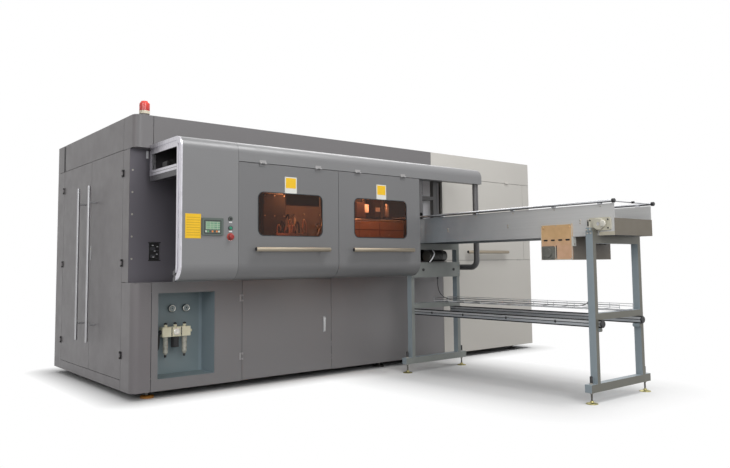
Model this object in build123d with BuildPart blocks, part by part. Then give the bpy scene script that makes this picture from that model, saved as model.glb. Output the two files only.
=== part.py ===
from build123d import *
import math
import os

# Blow moulding machine: a long sheet-metal cabinet on a welded base, a hood with two lift-up
# doors along its front, and an outfeed conveyor on two leg frames that stands out from the front.
# Millimetres. +X runs along the machine, +Y to its back, +Z up. The origin lies on the floor
# under the middle of the whole machine.

# Cabinet
cabinet_length = 5070
cabinet_depth = 2130
cabinet_height = 2300
floor_gap = 60
sheet = 3
seam = 4
tray_depth = 30
corner_radius = 60
corner_leg = 156
lower_height = 933
header_height = 270
header_bottom = cabinet_height - header_height
recess_depth = 100
weld_gap = 0.2
running_gap = 0.3
sliding_gap = 0.08

# Welded base and upright frame
tube = 60
base_tube_height = 80
foot_left = 176
foot_inset = 115
foot_pad_radius = 55
foot_stud_radius = 12

# End doors
end_strip = 240
end_rear_strip = 223
end_rear_edge = cabinet_depth - end_rear_strip
end_split = (end_strip + end_rear_edge) / 2 - 24
plinth_height = 146
bar_radius = 12.5
bar_standoff = 70
end_bar_low = plinth_height + 254
end_bar_high = header_bottom - 238
end_bar_offset = 150
standoff_radius = 8
standoff_inset = 150

# Lower front
alcove_left = 215
alcove_right = 716
alcove_bottom = 155
alcove_top = 843
alcove_depth = 245
door_left = 983
door_right = 1951
lever_x = 1867
lever_top = 545
lever_length = 115
lever_width = 24
lever_thickness = 12
lever_boss_radius = 14
lever_spindle_radius = 7

# White module at the right end, and the height of the bars that open the lift-up doors
white_length = 1726
white_left = cabinet_length - white_length
white_door_margin = 127
white_door_width = 1428
white_door_right = cabinet_length - white_door_margin
white_door_left = white_door_right - white_door_width
lower_panel_right = white_door_left - 10
handle_height = 1190
white_door_bottom = handle_height - 92
white_bar_length = 710
handle_radius = 15
handle_standoff = 50

# Hood, with the bay for the conveyor at its right end
hood_reach = 605
hood_top = header_bottom + 20
hood_bottom = handle_height - 245
hood_wall = 80
hood_top_radius = 90
hood_bottom_radius = 130
bay_width = 907
canopy_overlap = 146
hood_left = 140
hood_split_left = 612
hood_right = white_left + canopy_overlap
hood_split_right = hood_right - bay_width
hood_split_middle = (hood_split_left + hood_split_right) / 2
lip_height = 161
hood_lip = hood_top - lip_height
hood_seam = 5
trim_thickness = 12
trim_groove = 20
duct_bottom = hood_top - 255
duct_bar = 45
window_margin = 180
window_width = hood_split_middle - hood_split_left - 2 * window_margin
window_share = 0.493
window_height = window_share * (hood_lip - handle_height)
window_middle = (hood_lip + handle_height) / 2 - 61
window_corner = 45
window_lap = 12
pane_thickness = 5
hood_bar_length = window_width + 100

# Hinges with a pin outside the sheet
hinge_length = 60
hinge_reach = 26
pin_height = 8
pin_radius = 3
pin_clearance = 0.08
knuckle_radius = 7
hood_hinge_offset = 275
white_hinge_offset = 408
end_hinge_inset = 195
end_hinge_heights = [
    plinth_height + end_hinge_inset + 3,
    (plinth_height + header_bottom) / 2 + 5,
    header_bottom - end_hinge_inset,
]
lower_hinge_heights = [271, lower_height - 156]

# Operator panel
panel_left = 297
panel_right = 475
panel_bottom = 1296
panel_top = 1428
panel_depth = 12
button_x = 540
black_button_z = 1426
green_button_z = 1354
stop_button_z = 1286
button_radius = 11
collar_radius = 17
collar_height = 6
button_proud = 3
stop_radius = 20
stop_height = 14
stop_lift = 13
button_tail = 15

# Beacon
beacon_x = 125
beacon_y = 120
beacon_radius = 43
beacon_foot_height = 30
beacon_ring_height = 25
beacon_dome_height = 86

# Bay beside the hood
post_tube_radius = 30
post_tube_x = hood_right - 40
post_tube_y = 55 - hood_reach
post_tube_z = 1020
post_bend = 75
bay_tube = 50
bay_left_x = white_left + 3
bay_right_x = bay_left_x + 60
bay_right_tube = 35
bay_bar_z = hood_top - 275
bay_bar_left = hood_split_right + 17
jamb_tube = 34
jamb_x = hood_split_right + 65
jamb_y = 63 - hood_reach
jamb_length = 329

# Air treatment set in the alcove
air_x = 422
air_y = 140
air_z = 515
air_body = 80
air_pitch = 84
air_depth = 70
bowl_radius = 21
bowl_length = 149
knob_radius = 32
knob_length = 90
knob_gap = 1
gauge_radius = 32
gauge_depth = 28
gauge_z = 702
gauge_left = 430
gauge_right = 558

# Outfeed conveyor
conveyor_offset = 369
conveyor_x = white_left - conveyor_offset
conveyor_width = 542
conveyor_inner_end = 560
conveyor_outer_end = 2596
side_bottom = 1263
side_top = 1505
side_thickness = 4
belt_width = 460
belt_thickness = 4
drum_radius = 50
drum_z = 1351
drive_drum_y = -2474
tail_drum_y = 430
shaft_radius = 15
shaft_clearance = 0.05
rail_radius = 11
rail_z = 1522
rail_clearance = 8
rail_outer_end = 2594
rail_inner_end = recess_depth - 5
cap_radius = 17
cap_length = 22
bearing_width = 190
bearing_height = 100
bearing_plate = 12
bearing_boss_radius = 46
bearing_boss_length = 24
cover_top = 1393
cover_flange_length = 130
cover_flange_height = 28
bed_thickness = 6
cross_tube = 40
cross_tube_places = [-2300, -1580, -860, -140, 280]

# Conveyor drive
plate_inner_y = -1928
plate_outer_y = -2225
plate_bottom = 1080
plate_top = 1368
plate_thickness = 8
plate_slot_z = 1240
flange_size = 125
flange_height = 110
flange_y = -2003
flange_z = 1138
flange_thickness = 10
flange_boss_radius = 36
flange_boss_length = 14
spigot_radius = 38
gear_size = 104
motor_radius = 55
motor_length = 250

# Conveyor leg frames
outer_frame_y = -2421
inner_frame_y = -389
frame_half = 345
leg_x = 40
leg_y = 60
foot_bar_half = 425
foot_bar_bottom = 85
leg_foot_half = 384
leg_foot_radius = 30
stud_radius = 7
stud_top = 190
leg_top = 1298
mid_bar_bottom = 620
mid_bar_height = 50
beam_bottom = 925
beam_top = 1075
beam_thickness = 8

# Lower rails, cable tray and drive cable
rail_width = 30
rail_height = 60
rail_slot = 8
tray_x = conveyor_x + 115
tray_width = 200
tray_height = 45
wire = 5
wire_pitch = 100
tray_inner_y = -365
tray_outer_y = -2445
cable_radius = 4
cable_rise_x = conveyor_x + 175
cable_rise_y = -2100
gland_radius = 9
gland_length = 22

# Process bed and air receiver inside the cabinet
bed_left = 780
bed_right = white_left + 116
bed_front = 180
bed_back = cabinet_depth - 180
bed_top = lower_height - sheet
bed_plate = 25
bed_column_front = 400
bed_column_back = cabinet_depth - 430
receiver_radius = 160
receiver_neck_offset = 300
receiver_y = 800
receiver_z = 380

# Blow clamp
blow_x = hood_split_middle
blow_y = 760
mould_width = 640
mould_depth = 110
mould_bottom = 1180
mould_top = 1480
mould_stroke = 60
platen_width = 780
platen_depth = 40
platen_bottom = 1140
end_plate = 50
end_plate_front = 200
end_plate_back = 1320
end_plate_top = 1600
plate_overhang = 10
tie_radius = 25
tie_half_x = 350
tie_low = 1175
tie_high = 1445
ram_radius = 30
cylinder_radius = 80
cylinder_length = 120
cylinder_wall = 15
cavity_pitch = 200
bottle_radius = 45
neck_radius = 14
neck_height = 25
shoulder_height = 80

# Stretch unit above the mould
bridge_thickness = 40
guide_radius = 15
guide_half = 250
carriage_thickness = 20
stretch_radius = 7
stretch_tip = 1560
nozzle_radius = 25
nozzle_bottom = 1500
stretch_stroke = 300
carriage_z = end_plate_top + bridge_thickness + stretch_stroke + 60
guide_top = carriage_z + 150

# Base lift under the mould
base_stroke = 30
base_insert_radius = 42
base_insert_height = 85
base_insert_top = mould_bottom + 15 - base_stroke
base_plate = 20
base_plate_z = base_insert_top - base_insert_height - base_plate
base_ram_radius = 20
base_cylinder_height = 100

# Preform transport and oven
transport_length = 1300
transport_left = blow_x - 3 * cavity_pitch
transport_y = 900
transport_size = 40
finger_count = 6
finger_thickness = 8
finger_gap = 14.5
finger_half = 26
finger_reach = 12
rail_stand_left = transport_left
rail_stand_right = conveyor_x + 25
oven_left = white_left + 296
oven_right = cabinet_length - 210
oven_leg_inset = 60
oven_table = 20
oven_front = 330
oven_back = 800
oven_base_z = 1000
oven_top = 1650
oven_bank = 90
lamp_radius = 6
lamp_count = 6
lamp_pitch = 80
lamp_start = 120
mandrel_rail_z = 1240
mandrel_rail_height = 40
mandrel_rail_width = 50
mandrel_pitch = 100
mandrel_height = 50
mandrel_radius = 10

# Columns that share the base's cross tubes: deck columns, oven legs and upright posts
deck_columns = [bed_left + 40, 0, conveyor_x - 325, white_left + 81]
deck_columns[1] = (deck_columns[0] + deck_columns[2]) / 2
oven_legs = [oven_left + oven_leg_inset, oven_right - oven_leg_inset]
foot_middle = deck_columns[2]
foot_right = oven_legs[1]
base_cross_places = [foot_left] + deck_columns + [oven_legs[0], sum(oven_legs) / 2, oven_legs[1]]
post_places = [tube / 2 + sheet, deck_columns[2], deck_columns[3], cabinet_length - tube / 2 - sheet]

# The whole machine's box is centred on the origin
end_reach = bar_standoff + bar_radius
conveyor_reach = rail_outer_end + cap_length
left_x = (end_reach - cabinet_length) / 2
front_y = (conveyor_reach - cabinet_depth) / 2


def level(z):
    """Horizontal plane whose x and y start at the cabinet's front left corner."""
    return Plane(origin=(left_x, front_y, z))


def facing_front(y):
    """Upright plane along the machine at a depth y, its x along the machine and its y up."""
    return Plane(origin=(left_x, front_y + y, 0), x_dir=(1, 0, 0), z_dir=(0, -1, 0))


def facing_right(x):
    """Upright plane across the machine at a length x, its x towards the back and its y up."""
    return Plane(origin=(left_x + x, front_y, 0), x_dir=(0, 1, 0), z_dir=(1, 0, 0))


def at(x, y, z):
    """A point given from the cabinet's front left corner on the floor."""
    return (left_x + x, front_y + y, z)


def block(x, y, z, mode=Mode.ADD):
    """Adds or cuts a box between pairs of lengths, depths and heights."""
    middle = at((x[0] + x[1]) / 2, (y[0] + y[1]) / 2, (z[0] + z[1]) / 2)
    with Locations(middle):
        Box(x[1] - x[0], y[1] - y[0], z[1] - z[0], mode=mode)


def rod_x(x, y, z, radius, mode=Mode.ADD):
    """Adds or cuts a round bar along the machine."""
    with Locations(Location(at((x[0] + x[1]) / 2, y, z), (0, 90, 0))):
        Cylinder(radius, x[1] - x[0], mode=mode)


def rod_y(x, y, z, radius, mode=Mode.ADD):
    """Adds or cuts a round bar across the machine."""
    with Locations(Location(at(x, (y[0] + y[1]) / 2, z), (90, 0, 0))):
        Cylinder(radius, y[1] - y[0], mode=mode)


def rod_z(x, y, z, radius, mode=Mode.ADD):
    """Adds or cuts an upright round bar."""
    with Locations(at(x, y, (z[0] + z[1]) / 2)):
        Cylinder(radius, z[1] - z[0], mode=mode)


def write(piece, name):
    """Labels a finished piece and writes it as one node."""
    piece.part.label = name
    export_step(piece.part, f"parts/{name}.step")


os.makedirs("parts", exist_ok=True)

# Hinge halves, made once about a pin along x with the fixed leaf on the +y side and z outwards
knuckle = hinge_length / 4
with BuildPart() as hinge_fixed:
    for end in (-1, 1):
        with Locations((end * (hinge_length - knuckle) / 2, 0, 0)):
            Cylinder(knuckle_radius, knuckle, rotation=(0, 90, 0))
        with Locations((end * (hinge_length - knuckle) / 2, hinge_reach / 2, sheet / 2 - pin_height)):
            Box(knuckle, hinge_reach, sheet)
    Cylinder(pin_radius, hinge_length, rotation=(0, 90, 0))
    leaf_start = knuckle_radius + 1
    with Locations((0, (hinge_reach + leaf_start) / 2, sheet / 2 - pin_height)):
        Box(hinge_length, hinge_reach - leaf_start, sheet)

with BuildPart() as hinge_moving:
    inner_knuckle = hinge_length - 2 * knuckle - 2 * running_gap
    Cylinder(knuckle_radius, inner_knuckle, rotation=(0, 90, 0))
    with Locations((0, -hinge_reach / 2, sheet / 2 - pin_height)):
        Box(inner_knuckle, hinge_reach, sheet)
    with Locations((0, -(hinge_reach + leaf_start) / 2, sheet / 2 - pin_height)):
        Box(hinge_length, hinge_reach - leaf_start, sheet)
    Cylinder(pin_radius + pin_clearance, hinge_length, rotation=(0, 90, 0), mode=Mode.SUBTRACT)

hood_hinge_z = hood_lip - hood_seam / 2
hood_door_middles = [
    (hood_split_left + hood_split_middle) / 2,
    (hood_split_middle + hood_split_right) / 2,
]
white_middle = (white_door_left + white_door_right) / 2
end_front_seam = end_strip + seam / 2
end_rear_seam = end_rear_edge
lower_seam = door_left - seam / 2


def top_hinge(x, y, z):
    """Place of a hinge under an upper edge, its pin in front of the sheet at depth y."""
    return Plane(origin=at(x, y - pin_height, z), x_dir=(1, 0, 0), z_dir=(0, -1, 0)).location


def end_hinge(y, z, towards_back):
    """Place of an upright hinge on the left end, its fixed leaf towards the back or the front."""
    turn = 1 if towards_back else -1
    return Plane(origin=at(-pin_height, y, z), x_dir=(0, 0, turn), z_dir=(-1, 0, 0)).location


def side_hinge(x, z):
    """Place of an upright hinge on the front, its fixed leaf to the left."""
    return Plane(origin=at(x, -pin_height, z), x_dir=(0, 0, 1), z_dir=(0, -1, 0)).location


hood_hinges = [
    [top_hinge(middle + side * hood_hinge_offset, -hood_reach, hood_hinge_z) for side in (-1, 1)]
    for middle in hood_door_middles
]
white_hinges = [
    top_hinge(white_middle + side * white_hinge_offset, 0, header_bottom + seam / 2)
    for side in (-1, 1)
]
end_front_hinges = [end_hinge(end_front_seam, z, False) for z in end_hinge_heights]
end_rear_hinges = [end_hinge(end_rear_seam, z, True) for z in end_hinge_heights]
lower_hinges = [side_hinge(lower_seam, z) for z in lower_hinge_heights]

with BuildPart() as hinge_leaves:
    for place in hood_hinges[0] + hood_hinges[1] + white_hinges:
        with Locations(place):
            add(hinge_fixed.part)
    for place in end_front_hinges + end_rear_hinges + lower_hinges:
        with Locations(place):
            add(hinge_fixed.part)
write(hinge_leaves, "hinge_leaves")

# Base: two long tubes, two end tubes and cross tubes, welded at butt joints
base_low = floor_gap
base_high = floor_gap + base_tube_height
front_rail = (tray_depth + sheet, tray_depth + sheet + tube)
back_rail = (cabinet_depth - sheet - tube, cabinet_depth - sheet)
inside_depth = (front_rail[1] + weld_gap, back_rail[0] - weld_gap)
cross_centres = [sheet + tube / 2] + base_cross_places + [cabinet_length - sheet - tube / 2]
with BuildPart() as base_frame:
    for rail, low in ((front_rail, corner_radius), (back_rail, sheet)):
        block((low, cabinet_length - sheet), rail, (base_low, base_high))
    for x in cross_centres:
        block((x - tube / 2, x + tube / 2), inside_depth, (base_low, base_high))
write(base_frame, "base_frame")

# Levelling feet: six large ones under the base and four small ones under the conveyor legs
base_feet = [
    at(x, y, 0)
    for x in (foot_left, foot_middle, foot_right)
    for y in (foot_inset, cabinet_depth - foot_inset)
]
leg_feet = [
    at(conveyor_x + side * leg_foot_half, y, 0)
    for side in (-1, 1)
    for y in (outer_frame_y, inner_frame_y)
]
with BuildPart() as base_foot:
    with BuildSketch(Plane.XZ):
        with BuildLine():
            Polyline(
                (0, 0), (foot_pad_radius, 0), (foot_pad_radius, 14), (foot_pad_radius - 12, 20),
                (foot_stud_radius + 8, 24), (foot_stud_radius, 24), (foot_stud_radius, 40),
                (foot_stud_radius * 1.7, 40), (foot_stud_radius * 1.7, floor_gap), (0, floor_gap),
                (0, 0),
            )
        make_face()
    revolve(axis=Axis.Z)

with BuildPart() as leg_foot:
    with BuildSketch(Plane.XZ):
        with BuildLine():
            Polyline(
                (0, 0), (leg_foot_radius, 0), (leg_foot_radius, 6), (leg_foot_radius * 0.6, 12),
                (stud_radius, 15), (stud_radius, foot_bar_bottom - 12),
                (stud_radius * 1.7, foot_bar_bottom - 12), (stud_radius * 1.7, foot_bar_bottom),
                (stud_radius, foot_bar_bottom), (stud_radius, stud_top), (0, stud_top), (0, 0),
            )
        make_face()
    revolve(axis=Axis.Z)

with BuildPart() as levelling_feet:
    with Locations(*base_feet):
        add(base_foot.part)
    with Locations(*leg_feet):
        add(leg_foot.part)
write(levelling_feet, "levelling_feet")

# Upright frame: posts on the base, two long top rails and cross rails between them
frame_front = recess_depth + sheet
roof_under = cabinet_height - sheet
top_low = roof_under - tube
front_posts = (frame_front, frame_front + tube)
with BuildPart() as cabinet_frame:
    for x in post_places:
        for post in (front_posts, back_rail):
            block((x - tube / 2, x + tube / 2), post, (base_high, top_low - weld_gap))
        inside = (front_posts[1] + weld_gap, back_rail[0] - weld_gap)
        block((x - tube / 2, x + tube / 2), inside, (top_low, roof_under))
    for rail in (front_posts, back_rail):
        block((sheet, cabinet_length - sheet), rail, (top_low, roof_under))
write(cabinet_frame, "cabinet_frame")

# Fixed grey sheets of the front: header, alcove panel and right lower panel, each with a ledge
ledge = (sheet, frame_front)
toe = (sheet, front_rail[0])
with BuildPart() as front_panels:
    header = (corner_leg + seam, white_left - seam)
    block(header, (0, sheet), (header_bottom, roof_under))
    block(header, ledge, (header_bottom, header_bottom + sheet))
    block(header, ledge, (roof_under - sheet, roof_under))
    alcove_panel = (corner_leg + seam, door_left - seam)
    block(alcove_panel, (0, sheet), (floor_gap, lower_height))
    block(alcove_panel, ledge, (lower_height - sheet, lower_height))
    block(alcove_panel, toe, (floor_gap, floor_gap + sheet))
    block((alcove_left, alcove_right), (0, sheet), (alcove_bottom, alcove_top), mode=Mode.SUBTRACT)
    right_panel = (door_right + seam, lower_panel_right)
    block(right_panel, (0, sheet), (floor_gap, lower_height))
    block(right_panel, ledge, (lower_height - sheet, lower_height))
    block(right_panel, toe, (floor_gap, floor_gap + sheet))
write(front_panels, "front_panels")


def corner_outline(inset):
    """Closed plan of the rounded corner column, inset from its outside."""
    radius = corner_radius - inset
    with BuildLine() as outline:
        run_front = Line((corner_leg, inset), (corner_radius, inset))
        bend = RadiusArc(run_front @ 1, (inset, corner_radius), radius)
        run_end = Line(bend @ 1, (inset, end_strip))
        Polyline(run_end @ 1, (corner_leg, end_strip), run_front @ 0)
    make_face(outline.edges())


# Left end surround: rounded corner columns, header, plinth, strip by the recess, rear column
with BuildPart() as end_surround:
    for low, high, shelf in (
        (floor_gap, lower_height, lower_height - sheet),
        (header_bottom, roof_under, header_bottom),
    ):
        with BuildSketch(level(low)):
            corner_outline(0)
        extrude(amount=high - low)
        with BuildSketch(level(low)):
            corner_outline(sheet)
        extrude(amount=high - low, mode=Mode.SUBTRACT)
        block((sheet, corner_leg), (end_strip - sheet, end_strip), (low, high), mode=Mode.SUBTRACT)
        block((corner_leg - sheet, corner_leg), (sheet, end_strip), (low, high), mode=Mode.SUBTRACT)
        block((corner_radius / 3, corner_leg), (sheet, recess_depth), (shelf, shelf + sheet))
    block((0, sheet), (frame_front, end_strip), (lower_height + seam, header_bottom - seam))
    door_span = (end_strip + seam, end_rear_edge - seam / 2)
    block((0, sheet), (end_strip + seam, cabinet_depth - sheet), (header_bottom + seam, roof_under))
    block((0, sheet), door_span, (floor_gap, plinth_height - seam))
    block((0, sheet), (end_rear_edge + seam / 2, cabinet_depth - sheet), (floor_gap, header_bottom))
write(end_surround, "end_surround")

# Recessed dark wall behind the hood, with its two openings and a socket box
socket = (170, 264)
socket_z = (1115, 1256)
process_opening = (hood_split_left + 28, hood_split_right - 23)
process_z = (lower_height + 57, header_bottom - 80)
outfeed_opening = (conveyor_x - 285, white_left - 14)
outfeed_z = (1090, header_bottom - 130)
wall_right = white_left + 51
with BuildPart() as recess_wall:
    block((sheet, wall_right), (recess_depth, frame_front), (lower_height, header_bottom))
    block(process_opening, (recess_depth, frame_front), process_z, mode=Mode.SUBTRACT)
    block(outfeed_opening, (recess_depth, frame_front), outfeed_z, mode=Mode.SUBTRACT)
    block(socket, (recess_depth, frame_front), socket_z, mode=Mode.SUBTRACT)
    block(
        (socket[0] - sheet, socket[1] + sheet), (frame_front, frame_front + 50),
        (socket_z[0] - sheet, socket_z[1] + sheet),
    )
    block(socket, (frame_front, frame_front + 50 - sheet), socket_z, mode=Mode.SUBTRACT)
write(recess_wall, "recess_wall")

# Alcove liner: an open box of sheet behind the opening in the lower front
liner_outer = ((alcove_left - sheet, alcove_right + sheet), (alcove_bottom - sheet, alcove_top + sheet))
with BuildPart() as alcove_liner:
    block(liner_outer[0], (sheet, alcove_depth + sheet), liner_outer[1])
    block(
        (alcove_left, alcove_right), (sheet, alcove_depth), (alcove_bottom, alcove_top),
        mode=Mode.SUBTRACT,
    )
write(alcove_liner, "alcove_liner")


def tray_door(plane, low, high, bottom, top):
    """A door leaf folded from sheet: a face with a return all round, open at the back."""
    width = high - low
    height = top - bottom
    with BuildSketch(plane) as outside:
        with Locations(((low + high) / 2, (bottom + top) / 2)):
            Rectangle(width, height)
    extrude(outside.sketch, amount=-tray_depth)
    with BuildSketch(plane.offset(-sheet)) as inside:
        with Locations(((low + high) / 2, (bottom + top) / 2)):
            Rectangle(width - 2 * sheet, height - 2 * sheet)
    extrude(inside.sketch, amount=-tray_depth, mode=Mode.SUBTRACT)


def upright_bar(y, low, high):
    """An upright round bar on two standoffs in front of the left end."""
    rod_z(-bar_standoff, y, (low, high), bar_radius)
    for z in (low + standoff_inset, high - standoff_inset):
        rod_x((-bar_standoff, 0), y, z, standoff_radius)


def level_bar(x, length, y):
    """A level round bar on two standoffs in front of a door, whose face is at depth y."""
    rod_x((x - length / 2, x + length / 2), y - handle_standoff, handle_height, handle_radius)
    for side in (-1, 1):
        foot = x + side * (length / 2 - standoff_inset / 2)
        rod_y(foot, (y - handle_standoff, y), handle_height, standoff_radius)


# Lower door with the plate of its swing handle
lower_door_span = (door_left, door_right)
lower_door_z = (floor_gap + seam, lower_height - seam)
with BuildPart() as lower_door:
    tray_door(facing_front(0), *lower_door_span, *lower_door_z)
    for place in lower_hinges:
        with Locations(place):
            add(hinge_moving.part)
    lever_low = lever_top - lever_length
    block(
        (lever_x - lever_width / 2 - 4, lever_x + lever_width / 2 + 4), (-sheet, 0),
        (lever_low - 10, lever_top + lever_boss_radius + 10),
    )
    rod_y(lever_x, (-sheet, sheet), lever_top, lever_spindle_radius + sliding_gap, mode=Mode.SUBTRACT)
write(lower_door, "lower_door")

with BuildPart() as door_lever:
    lever_back = -sheet - running_gap
    with BuildSketch(facing_front(lever_back)):
        with Locations((lever_x, lever_top)):
            Circle(lever_boss_radius)
        with BuildLine():
            Polyline(
                (lever_x - lever_width / 2, lever_top), (lever_x + lever_width / 2, lever_top),
                (lever_x + lever_width / 3, lever_low), (lever_x - lever_width / 3, lever_low),
                (lever_x - lever_width / 2, lever_top),
            )
        make_face()
    extrude(amount=lever_thickness)
    fillet(door_lever.faces().sort_by(Axis.Y)[0].edges(), 2)
    rod_y(lever_x, (lever_back, sheet + 20), lever_top, lever_spindle_radius)
    cam_y = sheet + 20
    block((lever_x - 12, lever_x + 12), (cam_y, cam_y + 4), (lever_top - 12, lever_top + 40))
write(door_lever, "door_lever")

# Left end doors and their pull bars
end_z = (plinth_height, header_bottom)
left_face = Plane(origin=at(0, 0, 0), x_dir=(0, -1, 0), z_dir=(-1, 0, 0))
with BuildPart() as end_door_front:
    tray_door(left_face, -(end_split - seam / 2), -(end_strip + seam), *end_z)
    for place in end_front_hinges:
        with Locations(place):
            add(hinge_moving.part)
write(end_door_front, "end_door_front")

with BuildPart() as end_door_rear:
    tray_door(left_face, -(end_rear_edge - seam / 2), -(end_split + seam / 2), *end_z)
    for place in end_rear_hinges:
        with Locations(place):
            add(hinge_moving.part)
write(end_door_rear, "end_door_rear")

with BuildPart() as end_bar_front:
    upright_bar(end_split - end_bar_offset, end_bar_low, end_bar_high)
write(end_bar_front, "end_bar_front")

with BuildPart() as end_bar_rear:
    upright_bar(end_split + end_bar_offset, end_bar_low, end_bar_high)
write(end_bar_rear, "end_bar_rear")

# Grey roof, back sheets and the bulkhead in the hood
back_third = (white_left - seam - sheet) / 3
back_splits = [sheet + i * back_third for i in range(4)]
with BuildPart() as cover_sheets:
    with BuildSketch(level(roof_under)):
        with BuildLine():
            Polyline(
                (0, corner_radius), (0, cabinet_depth), (white_left - seam, cabinet_depth),
                (white_left - seam, 0), (corner_radius, 0),
            )
            RadiusArc((corner_radius, 0), (0, corner_radius), corner_radius)
        make_face()
    extrude(amount=sheet)
    for low, high in zip(back_splits[:-1], back_splits[1:]):
        block(
            (low + seam / 2, high - seam / 2), (cabinet_depth - sheet, cabinet_depth),
            (floor_gap, roof_under - seam),
        )
write(cover_sheets, "cover_sheets")

# White sheets of the preform module: roof, header, lower front, right strip, end and back
white_right = cabinet_length - sheet
with BuildPart() as white_panels:
    block((white_left, cabinet_length), (0, cabinet_depth), (roof_under, cabinet_height))
    block((white_left, white_right), (0, sheet), (header_bottom + seam, roof_under - weld_gap))
    block((lower_panel_right + seam, white_right), (0, sheet), (floor_gap, white_door_bottom - seam))
    block((white_door_right + seam, white_right), (0, sheet), (white_door_bottom, header_bottom))
    end_parts = [0, cabinet_depth / 2, cabinet_depth]
    for low, high in zip(end_parts[:-1], end_parts[1:]):
        block(
            (white_right + weld_gap, cabinet_length), (low, high - weld_gap),
            (floor_gap, roof_under - weld_gap),
        )
    back_middle = (white_left + white_right) / 2
    for low, high in ((white_left, back_middle - seam / 2), (back_middle + seam / 2, white_right)):
        block((low, high), (cabinet_depth - sheet, cabinet_depth), (floor_gap, roof_under - weld_gap))
write(white_panels, "white_panels")

with BuildPart() as white_door:
    tray_door(facing_front(0), white_door_left, white_door_right, white_door_bottom, header_bottom)
    for place in white_hinges:
        with Locations(place):
            add(hinge_moving.part)
write(white_door, "white_door")

with BuildPart() as white_bar:
    level_bar(white_middle, white_bar_length, 0)
write(white_bar, "white_bar")


def hood_section(outer, inner):
    """Face of the hood's C section between two insets from its outside, made in the open sketch."""
    front = -hood_reach
    curl_end = hood_bottom_radius - hood_reach
    top_end = hood_top_radius - hood_reach
    top_z = hood_top - hood_top_radius
    low_z = hood_bottom + hood_bottom_radius
    with BuildLine() as outline:
        arm = Line((0, hood_top - outer), (top_end, hood_top - outer))
        top_bend = RadiusArc(arm @ 1, (front + outer, top_z), -(hood_top_radius - outer))
        drop = Line(top_bend @ 1, (front + outer, low_z))
        low_bend = RadiusArc(drop @ 1, (curl_end, hood_bottom + outer), -(hood_bottom_radius - outer))
        curl = Line(low_bend @ 1, (curl_end, hood_bottom + inner))
        low_in = RadiusArc(curl @ 1, (front + inner, low_z), hood_bottom_radius - inner)
        rise = Line(low_in @ 1, (front + inner, top_z))
        top_in = RadiusArc(rise @ 1, (top_end, hood_top - inner), hood_top_radius - inner)
        Polyline(top_in @ 1, (0, hood_top - inner), arm @ 0)
    make_face(outline.edges())


def hood_tray(low, high, bottom, top):
    """A length of the hood's wall between two heights: a bent skin with returns, open inside."""
    span = 2 * hood_reach
    with BuildSketch(facing_right(low)) as outside:
        hood_section(0, hood_wall)
        with Locations((-span / 2, (bottom + top) / 2)):
            Rectangle(span, top - bottom, mode=Mode.INTERSECT)
    extrude(outside.sketch, amount=high - low)
    with BuildSketch(facing_right(low + sheet)) as inside:
        hood_section(sheet, hood_wall + sheet)
        with Locations((-span / 2 - sheet, (bottom + top) / 2)):
            Rectangle(span, top - bottom - 2 * sheet, mode=Mode.INTERSECT)
        curl_edge = hood_bottom_radius - hood_reach
        with Locations((curl_edge, hood_bottom)):
            Rectangle(2 * sheet, 3 * hood_wall, mode=Mode.SUBTRACT)
    extrude(inside.sketch, amount=high - low - 2 * sheet, mode=Mode.SUBTRACT)


# Hood shell: the closed left length, the canopy, the cable duct and the bulkhead
hood_low = hood_bottom - sheet
hood_high = hood_top + sheet
duct_front = hood_wall + 5 - hood_reach
with BuildPart() as hood_shell:
    hood_tray(hood_left, hood_split_left - seam / 2, hood_low, hood_high)
    for z in (black_button_z, green_button_z, stop_button_z):
        hole = button_radius + sliding_gap
        rod_y(button_x, (-hood_reach, sheet - hood_reach), z, hole, mode=Mode.SUBTRACT)
    hood_tray(hood_split_left, hood_right, hood_lip, hood_high)
write(hood_shell, "hood_shell")

duct = (hood_left + 20, bay_bar_left - bay_tube)
with BuildPart() as cable_duct:
    block(duct, (duct_front, -5), (duct_bottom, duct_bottom + sheet))
    for low, high in ((duct[0], hood_split_left - 20), (hood_split_left + 20, duct[1])):
        block((low, high), (-5 - sheet, -5), (duct_bottom + sheet, hood_top - sheet))
    block(
        (hood_split_left - 20, hood_split_left - 20 + sheet), (duct_front, recess_depth),
        (hood_bottom + hood_bottom_radius, duct_bottom),
    )
write(cable_duct, "cable_duct")

# Aluminium end trim of the hood, grooved along its middle, and the open end of the cable duct
trim_left = hood_left - trim_thickness
with BuildPart() as hood_end_trim:
    with BuildSketch(facing_right(trim_left)):
        hood_section(0, hood_wall)
    extrude(amount=trim_thickness)
    groove_in = (hood_wall - trim_groove) / 2
    with BuildSketch(facing_right(trim_left)):
        hood_section(groove_in, groove_in + trim_groove)
    extrude(amount=trim_thickness / 2, mode=Mode.SUBTRACT)
    duct_inside = hood_wall - hood_reach
    block((trim_left, hood_left + 40), (duct_inside, 0), (duct_bottom - duct_bar, duct_bottom))
    block((trim_left, hood_left + 20), (-duct_bar, 0), (duct_bottom, hood_top - hood_wall))
write(hood_end_trim, "hood_end_trim")

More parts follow.
